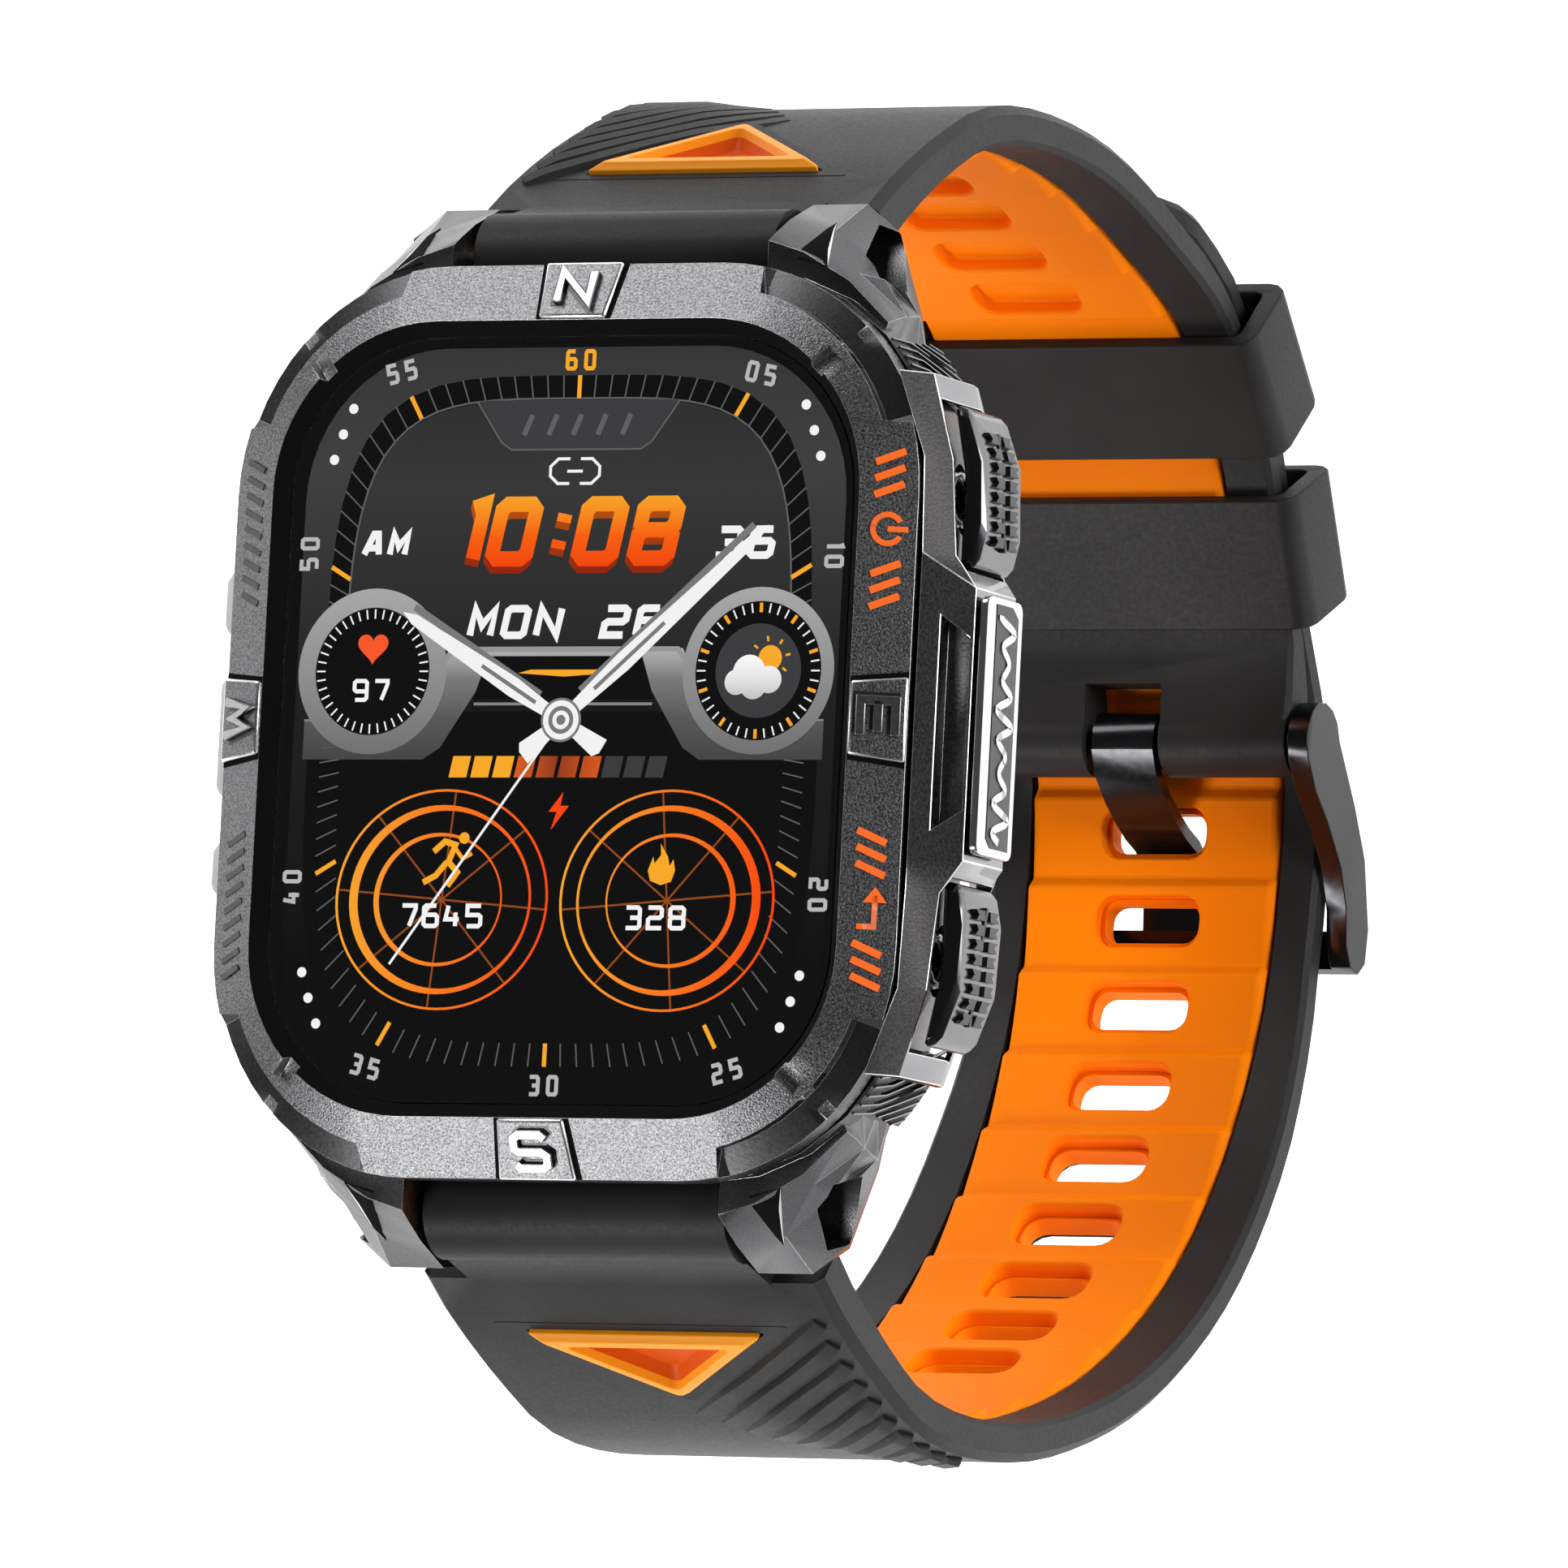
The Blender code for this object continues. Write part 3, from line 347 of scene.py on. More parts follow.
def bezel_finish_and_shade(centre):
    """Material slot of the bezel face with this centre in mm."""
    past = Vector(past_corner(centre, CORNER))
    turn = math.degrees(math.atan2(past.y, max(past.x, 1e-6)))
    stepped = STEP_SPAN[0] < turn < STEP_SPAN[1] and past.length > STEP_RADIUS
    reach = max(abs(centre.x) - CHAMFER_EDGE[0], abs(centre.y) - CHAMFER_EDGE[1],
                math.hypot(*past_corner(centre, CHAMFER_CORNER)) - CHAMFER_RADIUS)
    if (stepped and centre.z < 13.9) or (centre.z < 12.6 and reach > 0.5):
        return BAND
    # painted shade: faces of the inner chamfer by the glass take the matt black slot
    if reach < 0 and centre.z > 13.2:
        return SHADED_CHAMFER
    return BLASTED


def make_bezel():
    """Blasted sloping ring, inner chamfer to the glass darkened as painted shade, cut-back corners over a
    smooth band.
    """
    solid = bmesh.new()
    rings = []
    for quadrant, angle in ring_stations():
        inside = corner_angle(quadrant, angle)
        stepped = inside is not None and STEP_SPAN[0] < inside < STEP_SPAN[1]
        back = STEP_WIDTH if stepped else 0.02
        drop = STEP_DROP if stepped else 0.12
        edge = OUTER_EDGE[0] - back, OUTER_EDGE[1] - back
        shelf = slope_height(edge[0])
        profile = [
            (*GLASS_EDGE, 12.3), (*GLASS_EDGE, 13.5), (*INNER_EDGE, TOP), (*edge, shelf),
            (*edge, shelf - drop), (*OUTER_EDGE, RIM - (0.55 if stepped else 0.25)),
            (*OUTER_EDGE, 11.16),
        ]
        rings.append([(*bezel_point(quadrant, angle, hx, hy), z) for hx, hy, z in profile])
    skin(solid, rings, closed_stack=True, caps=False)
    for face in solid.faces:
        face.material_index = bezel_finish_and_shade(face.calc_center_median())
    finishes_and_shade = [M["bezel"], M["edge"], M["painted_shade"], M["band"]]
    bezel = finish_mesh("bezel_ring", solid, finishes_and_shade, None, 30)
    for sx, sy, _ in corners():
        carve(bezel, groove_cutter(sx, sy))
    add_bevel(bezel, 0.17, 2, 25, edge_material=POLISHED)
    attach(bezel, "case")
    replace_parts(bezel, "bezel")


def groove_cutter(sx, sy):
    """Bar that cuts a shallow radial slot in the top face at one diagonal."""
    solid = bmesh.new()
    along = Vector((sx, sy, 0)).normalized()
    side = Vector((-along.y, along.x, 0))
    start = Vector((sx * CORNER[0], sy * CORNER[1], 0))
    section = [(-0.62, 0.4), (-0.4, -0.22), (0.4, -0.22), (0.62, 0.4)]
    rings = []
    for reach, height in ((9.4, TOP + 0.03), (14.5, TOP + 0.03 - 5.1 * GROOVE_FALL)):
        spot = start + along * reach
        rings.append([spot + side * u + Vector((0, 0, height + w)) for u, w in section])
    skin(solid, rings)
    return finish_mesh("groove_cutter", solid, [], None)


# ---------------------------------------------------------------- lettering and dial drawing

GLYPHS = {                        # strokes on a 4 wide, 6 high grid; a closed stroke ends with True
    "0": [[(0.6, 0), (3.4, 0), (4, 0.6), (4, 5.4), (3.4, 6), (0.6, 6), (0, 5.4), (0, 0.6), True]],
    "1": [[(0.9, 5.6), (2.1, 6), (2.1, 0)]],
    "2": [[(0, 6), (3.4, 6), (4, 5.4), (4, 3.6), (3.4, 3), (0.6, 3), (0, 2.4), (0, 0), (4, 0)]],
    "3": [[(0, 6), (3.4, 6), (4, 5.4), (4, 3.5), (3.4, 3), (1.2, 3)],
          [(3.4, 3), (4, 2.5), (4, 0.6), (3.4, 0), (0, 0)]],
    "4": [[(0.8, 6), (0, 2), (4, 2)], [(3, 4), (3, 0)]],
    "5": [[(4, 6), (0, 6), (0, 3.3), (3.4, 3.3), (4, 2.7), (4, 0.6), (3.4, 0), (0, 0)]],
    "6": [[(3.6, 6), (0.6, 6), (0, 5.4), (0, 0.6), (0.6, 0), (3.4, 0), (4, 0.6), (4, 2.7),
           (3.4, 3.3), (0, 3.3)]],
    "7": [[(0, 6), (4, 6), (4, 5), (2.2, 0)]],
    "8": [[(0.6, 3.1), (3.4, 3.1), (4, 3.7), (4, 5.4), (3.4, 6), (0.6, 6), (0, 5.4), (0, 3.7), True],
          [(0.6, 3.1), (3.4, 3.1), (4, 2.5), (4, 0.6), (3.4, 0), (0.6, 0), (0, 0.6), (0, 2.5), True]],
    "9": [[(4, 2.7), (0.6, 2.7), (0, 3.3), (0, 5.4), (0.6, 6), (3.4, 6), (4, 5.4), (4, 0.6),
           (3.4, 0), (0.4, 0)]],
    "A": [[(0, 0), (1.5, 6), (2.7, 6), (4, 0)], [(0.6, 1.9), (3.5, 1.9)]],
    "M": [[(0, 0), (0, 6), (2, 2.2), (4, 6), (4, 0)]],
    "N": [[(0, 0), (0, 6), (4, 0), (4, 6)]],
    "O": [[(0.6, 0), (3.4, 0), (4, 0.6), (4, 5.4), (3.4, 6), (0.6, 6), (0, 5.4), (0, 0.6), True]],
    "S": [[(4, 5.2), (3.4, 6), (0.6, 6), (0, 5.4), (0, 3.7), (0.6, 3.1), (3.4, 3.1), (4, 2.5),
           (4, 0.6), (3.4, 0), (0.6, 0), (0, 0.8)]],
    "E": [[(4, 6), (0, 6), (0, 0), (4, 0)], [(0, 3), (3.6, 3)]],
    "W": [[(0, 6), (0.9, 0), (2, 4), (3.1, 0), (4, 6)]],
    ":": [[(0.4, 1.1), (0.4, 2.0)], [(0.4, 4.0), (0.4, 4.9)]],
    " ": [],
}


def stroke_sides(points, width, closed):
    """Left and right edges of a stroke with mitred corners."""
    left, right = [], []
    count = len(points)
    for k, point in enumerate(points):
        here = Vector(point)
        before = Vector(points[k - 1]) if closed or k else None
        after = Vector(points[(k + 1) % count]) if closed or k < count - 1 else None
        first = (here - before).normalized() if before is not None else None
        second = (after - here).normalized() if after is not None else None
        first = first or second
        second = second or first
        normal = Vector((-first.y - second.y, first.x + second.x)).normalized()
        reach = width / 2 / max(0.45, normal.dot(Vector((-first.y, first.x))))
        left.append(here + normal * reach)
        right.append(here - normal * reach)
    return left, right


class Drawing:
    """Thin raised artwork of one material, laid on a surface by place(u, v, w)."""

    def __init__(self, name, material, level, thick=0.014, place=None, body="case", slot="display"):
        self.name, self.material, self.body, self.slot = name, material, body, slot
        self.level, self.thick = level, thick
        self.place = place or (lambda u, v, w: (u, v, w))
        self.solid = bmesh.new()

    def shape(self, outline):
        slab(self.solid, outline, self.place, self.level, self.level + self.thick)

    def ring(self, x, y, outer, inner, start=0, end=360, steps=64, shift=(0, 0), oval=1.0):
        """Arc band; shift moves the inner edge so that the band swells to one side."""
        for k in range(steps):
            a, b = (math.radians(start + (end - start) * (k + i) / steps) for i in (0, 1))
            quad = [(x + outer * math.cos(a), y + oval * outer * math.sin(a)),
                    (x + outer * math.cos(b), y + oval * outer * math.sin(b)),
                    (x + shift[0] + inner * math.cos(b), y + shift[1] + oval * inner * math.sin(b)),
                    (x + shift[0] + inner * math.cos(a), y + shift[1] + oval * inner * math.sin(a))]
            self.shape(quad)

    def disc(self, x, y, radius, steps):
        self.shape(circle(x, y, radius, steps))

    def stroke(self, points, width, closed=False):
        left, right = stroke_sides(points, width, closed)
        count = len(points)
        for k in range(count if closed else count - 1):
            n = (k + 1) % count
            self.shape([left[k], right[k], right[n], left[n]])

    def text(self, words, x, y, height, weight, angle=0.0, slant=0.0, aspect=0.62, gap=0.34):
        """Line of glyphs centred on (x, y)."""
        wide = height * aspect
        steps = [wide * (0.45 if glyph in ":1" else 1.0) + height * gap for glyph in words]
        total = sum(steps) - height * gap
        turn = Matrix.Rotation(math.radians(angle), 2)
        cursor = -total / 2
        for glyph, step in zip(words, steps):
            narrow = {"1": -0.14, ":": 0.1}.get(glyph, 0.0) * wide
            for path in GLYPHS[glyph]:
                closed = path[-1] is True
                points = []
                for gx, gy in (path[:-1] if closed else path):
                    v = (gy / 6 - 0.5) * (height - weight)
                    u = cursor + narrow + weight / 2 + gx / 4 * (wide - weight) + slant * v
                    points.append(tuple(turn @ Vector((u, v)) + Vector((x, y))))
                self.stroke(points, weight, closed)
            cursor += step

    def done(self):
        obj = finish_mesh(self.name, self.solid, [self.material], self.body, 30)
        return obj


def track_point(turn, half_x, half_y):
    """Point on a squarish oval at a clock angle (0 at the top, clockwise)."""
    s = math.sin(math.radians(turn))
    c = math.cos(math.radians(turn))
    reach = (abs(s / half_x) ** TRACK_POWER + abs(c / half_y) ** TRACK_POWER) ** (-1 / TRACK_POWER)
    return s * reach, c * reach


def track_line(half_sizes, turns):
    return [track_point(turn, *half_sizes) for turn in turns]


LAYER = 13.0                      # height of the lowest drawing layer
LAYER_STEP = 0.018                # rise from one layer to the next
TRACK_OUTER = (15.75, 20.2)       # half sizes of the minute track
TRACK_INNER = (14.45, 18.85)
TRACK_POWER = 4.2                 # squareness of the track
GAUGE_X = 12.56                   # centres of the two round gauges
GAUGE_Y = 2.87
RADAR_Y = -10.5
RADAR_OVAL = 0.93                 # height of the radar rings over their width


def layer(number):
    return LAYER + LAYER_STEP * number


RADAR_STOPS = [(0.0, (1.0, 0.42, 0.03)), (0.5, (1.0, 0.2, 0.01)), (1.0, (1.0, 0.06, 0.0))]
INKS = {
    "field": ink("dial_field", [(0.0, 0.004), (0.25, 0.02), (0.65, 0.036), (1.0, 0.022)], "Y", 0, 21),
    "rim": ink("dial_rim", [(0.0, 0.0015), (0.45, 0.012), (0.8, 0.05), (1.0, 0.035)], "Y", -14, 22),
    "black": ink("dial_black", (0.0008, 0.0008, 0.0009)),
    "white": ink("dial_white", (0.95, 0.95, 0.95)),
    "numeral": ink("dial_numeral", (0.5, 0.5, 0.52)),
    "tick": ink("dial_tick", (0.12, 0.12, 0.125)),
    "amber": ink("dial_amber", (1.0, 0.42, 0.02)),
    "time": ink("dial_time", [(0.0, (0.95, 0.06, 0.0)), (0.4, (1.0, 0.12, 0.0)),
                              (1.0, (1.0, 0.42, 0.02))], "Y", 9.0, 13.4),
    "time_side": ink("dial_time_side", [(0.0, (0.3, 0.012, 0.0)), (1.0, (0.5, 0.09, 0.0))], "Y", 8.6, 13),
    "radar": ink("dial_radar", RADAR_STOPS, "X", -14.5, 0.0),
    "radar_2": ink("dial_radar_2", RADAR_STOPS, "X", 0.3, 14.3),
    "faint": ink("dial_faint", (0.3, 0.07, 0.01)),
    "ring": ink("gauge_ring", [(0.0, 0.17), (0.5, 0.3), (1.0, 0.42)], "Y", -2.0, 8.2),
    "metal": ink("dash_metal", [(0.0, 0.06), (0.35, 0.1), (0.7, 0.2), (1.0, 0.5)], "Y", -2.2, 4.4),
    "dim": ink("dial_dim", (0.045, 0.045, 0.048)),
    "red": ink("dial_red", (1.0, 0.1, 0.02)),
    "shade": ink("hand_shade", (0.2, 0.2, 0.205)),
    "glow": ink("battery_glow", [(0.0, (0.75, 0.12, 0.01)), (0.5, (0.3, 0.04, 0.01)),
                                 (1.0, (0.7, 0.1, 0.01))], "X", -3.0, 2.6),
    "lamp": ink("sensor_lamp", (0.02, 0.35, 0.08)),
    "cloud": ink("cloud", [(0.0, 0.6), (0.5, 0.85), (1.0, 1.0)], "Y", 1.4, 3.6),
}


def circle(x, y, radius, steps=40):
    turns = [2 * math.pi * k / steps for k in range(steps)]
    return [(x + radius * math.cos(a), y + radius * math.sin(a)) for a in turns]


def rounded_rect(half_x, half_y, radius, per_corner):
    points = []
    for quarter, (sx, sy) in enumerate(((1, 1), (-1, 1), (-1, -1), (1, -1))):
        for step in range(per_corner + 1):
            angle = math.radians(90 * (quarter + step / per_corner))
            points.append((sx * (half_x - radius) + radius * math.cos(angle),
                           sy * (half_y - radius) + radius * math.sin(angle)))
    return points


def filled(name, colour, number, *outlines):
    """Plain outlines of one display colour in one layer."""
    art = Drawing(name, INKS[colour], layer(number))
    for outline in outlines:
        art.shape(outline)
    art.done()


def stroked(name, colour, number, *lines):
    """Strokes of one display colour in one layer; each line is (points, width)."""
    art = Drawing(name, INKS[colour], layer(number))
    for points, width in lines:
        art.stroke(points, width)
    art.done()


def make_dial_ground():
    """Display slab and its dark fields: rim, tick track and the grey upper field."""
    panel = Drawing("display_screen", INKS["black"], 12.0, thick=0.995)
    panel.shape(rounded_rect(18.2, 22.4, 9.3, 12))
    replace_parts(panel.done(), "display_panel")
    filled("dial_rim_band", "rim", 0, rounded_rect(17.6, 21.85, 9.0, 12))
    filled("dial_track", "black", 1, track_line(TRACK_OUTER, range(0, 360, 5))[::-1])
    arc = track_line((14.45, 18.75), range(-96, 97, 4))[::-1]
    filled("dial_upper_field", "field", 2, [point for point in arc if point[1] > 0])
    filled("dial_lower_field", "black", 2, track_line((16.6, 20.6), range(90, 271, 5))[::-1])


def make_ticks():
    """Minute marks, numerals and the corner dots."""
    ticks = Drawing("dial_ticks", INKS["tick"], layer(3))
    marks = Drawing("dial_marks", INKS["amber"], layer(3))
    for turn in range(0, 360, 3):
        if 75 < turn < 96 or 264 < turn < 285:
            continue
        ends = [track_point(turn, *TRACK_OUTER), track_point(turn, *TRACK_INNER)]
        if turn % 30:
            ticks.stroke(ends, 0.08)
        else:
            marks.stroke(ends, 0.26)
    ticks.stroke(track_line(TRACK_INNER, range(-75, 76, 3)), 0.1)
    ticks.done()
    marks.done()
    numerals = Drawing("dial_numerals", INKS["numeral"], layer(3))
    for words, x, y, angle in (("05", 11.75, 20.2, -12), ("10", 17.05, 9.6, -90), ("20", 17.1, -10.1, -90),
                               ("25", 11.8, -20.35, 15), ("30", 0.0, -21.3, 0), ("35", -11.7, -20.3, -14),
                               ("40", -17.15, -9.8, 90), ("50", -17.15, 9.8, 90), ("55", -11.7, 20.5, 12)):
        numerals.text(words, x, y, 1.25, 0.24, angle)
    numerals.done()
    top = Drawing("dial_numeral_top", INKS["amber"], layer(3))
    top.text("60", 0.0, 21.1, 1.25, 0.24)
    top.done()
    dots = Drawing("dial_dots", INKS["white"], layer(3))
    for sx, sy, _ in corners():
        shift = 0.0 if sy > 0 else 0.55
        for x, y in ((14.75, 18.35), (15.35, 16.85), (15.85, 15.35)):
            dots.disc(sx * (x + shift * 0.6), sy * (y - shift), 0.3, 20)
    dots.done()


def make_readouts():
    """Digital time, date and the plate above them."""
    edge = [(-6.6, 18.7), (-4.9, 16.3), (-4.2, 15.85), (4.2, 15.85), (4.9, 16.3), (6.6, 18.7)]
    filled("dial_plate", "dim", 3, [(x * 0.985, y + 0.06) for x, y in edge])
    places = [-3.2 + 1.6 * k for k in range(5)]
    stroked("dial_plate_lines", "tick", 4, (edge, 0.1),
            *[([(x - 0.25, 16.7), (x + 0.25, 17.9)], 0.32) for x in places])
    half = [(0.35, 15.3), (1.1, 15.3), (1.6, 14.85), (1.6, 14.3), (1.1, 13.85), (0.35, 13.85)]
    stroked("dial_link", "white", 4, (half, 0.17), ([(-x, y) for x, y in half], 0.17),
            ([(-0.5, 14.57), (0.5, 14.57)], 0.17))
    style = {"slant": 0.2, "aspect": 0.76, "gap": 0.13}
    side = Drawing("time_digits_side", INKS["time_side"], layer(3))
    for k in range(4):
        side.text("10:08", -0.15 - 0.02 * k, 11.05 - 0.1 * (k + 1), 4.1, 0.9, **style)
        side.level -= 0.001
    side.done()
    digits = Drawing("time_digits", INKS["time"], layer(4))
    digits.text("10:08", -0.1, 11.05, 4.1, 0.9, **style)
    digits.done()
    words = Drawing("date_line", INKS["white"], layer(4))
    for text, x, y, height, weight, slant, aspect in (
            ("AM", -12.1, 10.35, 1.6, 0.4, 0.2, 0.85), ("36", 11.3, 10.35, 1.95, 0.44, 0.2, 0.9),
            ("MON 26", -0.1, 5.75, 2.0, 0.44, 0.2, 0.88), ("7645", -7.2, -11.45, 1.45, 0.26, 0.0, 0.78),
            ("328", 6.7, -11.5, 1.45, 0.26, 0.0, 0.78)):
        words.text(text, x, y, height, weight, slant=slant, aspect=aspect, gap=0.2)
    words.done()


def make_dashboard():
    """Grey instrument cluster across the middle."""
    filled("dash_panel", "metal", 3,
           [(-16.9, 0.0), (-16.9, -2.3), (-9.0, -2.3), (-7.9, -1.6), (-5.6, 1.9), (5.6, 1.9), (7.9, -1.6),
            (9.0, -2.3), (16.9, -2.3), (16.9, 0.0), (9.3, 0.6), (7.6, 4.2), (-7.6, 4.2), (-9.3, 0.6)])
    filled("dash_hollows", "black", 4, [(-5.9, 1.2), (5.9, 1.2), (5.0, 3.75), (-5.0, 3.75)],
           [(-5.6, 0.5), (-3.6, -3.0), (3.6, -3.0), (5.6, 0.5)])
    stroked("dash_bright_lines", "ring", 5, ([(-8.0, 3.3), (-7.3, 4.15), (7.3, 4.15), (8.0, 3.3)], 0.3),
            ([(-5.8, 0.95), (5.8, 0.95)], 0.16), ([(-16.9, 0.0), (-15.4, 0.0)], 0.12),
            ([(16.9, 0.0), (15.4, 0.0)], 0.12))
    filled("dash_amber_line", "amber", 5,
           [(-3.0, 2.75), (0.0, 2.55), (3.0, 2.75), (2.2, 2.95), (-2.2, 2.95)])


def make_gauges():
    """Round gauge with a ticked ring at each end of the cluster."""
    marks = Drawing("gauge_marks_right", INKS["amber"], layer(6))
    for label, x, inner in (("left", -GAUGE_X, 3.75), ("right", GAUGE_X, 4.05)):
        ring = Drawing(f"gauge_ring_{label}", INKS["ring"], layer(6))
        ring.ring(x, GAUGE_Y, 4.87, inner)
        ring.done()
        filled(f"gauge_face_{label}", "black", 5, circle(x, GAUGE_Y, 4.8))
        ticks = Drawing(f"gauge_ticks_{label}", INKS["white"], layer(6))
        for k in range(40):
            a = math.radians(9 * k)
            ends = [(x + r * math.cos(a), GAUGE_Y + r * math.sin(a)) for r in (inner - 0.1, inner - 0.65)]
            if label == "right" and k % 4 == 2:
                marks.stroke(ends, 0.2)
            else:
                ticks.stroke(ends, 0.09)
        ticks.done()
    marks.done()
    filled("gauge_core_right", "dim", 6, circle(GAUGE_X, GAUGE_Y, 2.75))


def make_weather():
    """Sun behind a cloud in the right gauge."""
    sun = Drawing("weather_sun", INKS["amber"], layer(7))
    sun.disc(13.3, 3.6, 0.75, 24)
    for k in range(8):
        a = math.radians(45 * k + 10)
        sun.stroke([(13.3 + r * math.cos(a), 3.6 + r * math.sin(a)) for r in (1.0, 1.3)], 0.13)
    sun.done()
    cloud = Drawing("weather_cloud", INKS["cloud"], layer(8))
    for x, y, radius in ((12.0, 2.75, 1.05), (13.3, 2.35, 0.8), (11.2, 2.2, 0.75), (12.3, 2.05, 0.85)):
        cloud.disc(x, y, radius, 24)
        cloud.level += 0.0015
    cloud.done()


def make_pulse():
    """Heart over its reading in the left gauge."""
    turns = [2 * math.pi * k / 36 for k in range(36)]
    filled("heart_icon", "red", 6, [(
        -12.6 + 0.062 * 16 * math.sin(t) ** 3,
        4.3 + 0.062 * (13 * math.cos(t) - 5 * math.cos(2 * t) - 2 * math.cos(3 * t) - math.cos(4 * t)),
    ) for t in turns])
    pulse = Drawing("pulse_reading", INKS["white"], layer(6))
    pulse.text("97", -12.6, 1.75, 1.35, 0.24, aspect=0.78, gap=0.22)
    pulse.done()


def make_radar():
    """Two ring gauges with spokes and swelling arcs."""
    for label, x, colour, swell in (("left", -7.25, "radar", -1), ("right", 7.4, "radar_2", 1)):
        rings = Drawing(f"radar_rings_{label}", INKS[colour], layer(4))
        rings.ring(x, RADAR_Y, 6.95, 6.8, oval=RADAR_OVAL, steps=72)
        for move, outer, inner, steps, shift in ((0.1, 5.95, 5.6, 72, 0.2), (0.25, 4.2, 3.98, 64, 0.12)):
            rings.ring(x + move * swell, RADAR_Y, outer, inner, oval=RADAR_OVAL, steps=steps,
                       shift=(-shift * swell, 0))
        rings.done()
        spokes = Drawing(f"radar_spokes_{label}", INKS["faint"], layer(3))
        for k in range(8):
            a = math.radians(45 * k + 5 * swell)
            tip = (x + 6.85 * math.cos(a), RADAR_Y + RADAR_OVAL * 6.85 * math.sin(a))
            spokes.stroke([(x, RADAR_Y), tip], 0.11)
        spokes.done()


def make_icons():
    """Runner and flame over the ring gauges, and the charge symbol with its bar."""
    icons = Drawing("activity_icons", INKS["amber"], layer(5))
    icons.disc(-5.95, -6.9, 0.34, 18)
    icons.stroke([(-7.9, -7.7), (-7.2, -7.1), (-6.5, -7.3), (-6.9, -8.3), (-6.3, -8.9), (-6.9, -9.7)], 0.36)
    icons.stroke([(-6.5, -7.5), (-6.0, -8.1), (-5.4, -7.8)], 0.24)
    icons.stroke([(-7.0, -8.3), (-7.7, -9.1), (-8.5, -9.5)], 0.36)
    flame = [(0, -1.15), (0.75, -0.95), (1.0, -0.3), (0.85, 0.35), (0.6, -0.05), (0.45, 0.5), (-0.1, 1.25),
             (-0.05, 0.6), (-0.5, 0.1), (-0.6, 0.5), (-0.95, -0.3), (-0.75, -0.9)]
    icons.shape([(6.95 + 0.9 * u, -8.45 + v) for u, v in flame])
    icons.done()
    filled("charge_bolt", "radar", 5,
           [(0.35, -4.2), (-0.55, -5.35), (-0.02, -5.35), (-0.35, -6.4), (0.75, -5.0), (0.2, -5.0)])
    places = [-6.55 + 1.42 * k for k in range(10)]
    blocks = [[(x - 0.65, -3.35), (x + 0.5, -3.35), (x + 0.75, -2.1), (x - 0.4, -2.1)] for x in places]
    filled("battery_bar", "amber", 5, *blocks[:3])
    filled("battery_bar_low", "glow", 5, *blocks[3:7])
    filled("battery_bar_empty", "dim", 5, *blocks[7:])


def hand(drawing, tip, width, tail):
    """Tapered dial hand from the hub to its tip, with a counterweight behind."""
    along = Vector(tip).normalized()
    side = Vector((-along.y, along.x))
    length = Vector(tip).length
    blade = [along * 0.4 + side * width * 0.36, along * length * 0.3 + side * width * 0.62,
             along * length * 0.93 + side * width * 0.34, along * length,
             along * length * 0.93 - side * width * 0.34, along * length * 0.3 - side * width * 0.62,
             along * 0.4 - side * width * 0.36]
    weight = [-along * 0.4 + side * 0.35, -along * tail * 0.9 + side * 0.75, -along * tail + side * 0.35,
              -along * tail - side * 0.55, -along * 0.4 - side * 0.35]
    for outline in (blade, weight):
        drawing.shape([tuple(point) for point in outline])


def make_hands():
    """Hour and minute hands with their shadows and slots, seconds hand and hub."""
    shade = Drawing("hand_shadows", INKS["shade"], layer(9))
    white = Drawing("dial_hands", INKS["white"], layer(10))
    slots = Drawing("hand_slots", INKS["shade"], layer(11))
    for tip in ((-10.7, 6.35), (12.8, 11.35)):
        hand(white, tip, 0.95, 3.2)
        along = Vector(tip).normalized()
        side = Vector((-along.y, along.x)) * (0.55 if tip[0] > 0 else -0.55)
        shade.stroke([tuple(along * 2 + side), tuple(Vector(tip) * 0.96 + side * 1.15)], 0.42)
        slots.stroke([tuple(Vector(tip) * share) for share in (0.16, 0.5)], 0.24)
    white.stroke([(0, 0), (-10.4, -14.3)], 0.15)
    white.done()
    slots.disc(0, 0, 1.3, 32)
    slots.done()
    hub = Drawing("hand_hub", INKS["white"], layer(12))
    hub.ring(0, 0, 1.15, 0.82, steps=32)
    hub.ring(0, 0, 0.55, 0.3, steps=24)
    hub.done()
    shade.disc(0, 0, 1.0, 32)
    shade.done()


def make_display():
    make_dial_ground()
    make_ticks()
    make_readouts()
    make_dashboard()
    make_gauges()
    make_weather()
    make_pulse()
    make_radar()
    make_icons()
    make_hands()
    glass = Drawing("glass_cover", M["glass"], 13.24, thick=0.32, slot="cover_glass")
    glass.shape(rounded_rect(18.25, 22.4, 9.35, 14))
    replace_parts(glass.done(), "cover_glass")


# ---------------------------------------------------------------- bezel furniture

def bar_place(side):
    """Axes lying on one sloping bar of the bezel; artwork reads with its top facing outward."""
    outward = {"N": (0, 1), "E": (1, 0), "S": (0, -1), "W": (-1, 0)}[side]
    run = 3.44 if side in "NS" else 3.1
    middle = 25.02 if side in "NS" else 20.65
    lean = math.atan2(TOP - RIM, run)
    across = Vector((outward[1], -outward[0], 0))
    up = Vector((outward[0] * math.cos(lean), outward[1] * math.cos(lean), -math.sin(lean)))
    rise = across.cross(up)
    origin = Vector((outward[0] * middle, outward[1] * middle, (TOP + RIM) / 2))
    return lambda u, v, w: tuple(origin + across * u + up * v + rise * w)


def bar_drawing(name, side, finish, level, thick):
    return Drawing(name, M[finish], level, thick, bar_place(side), slot="bezel_metal")


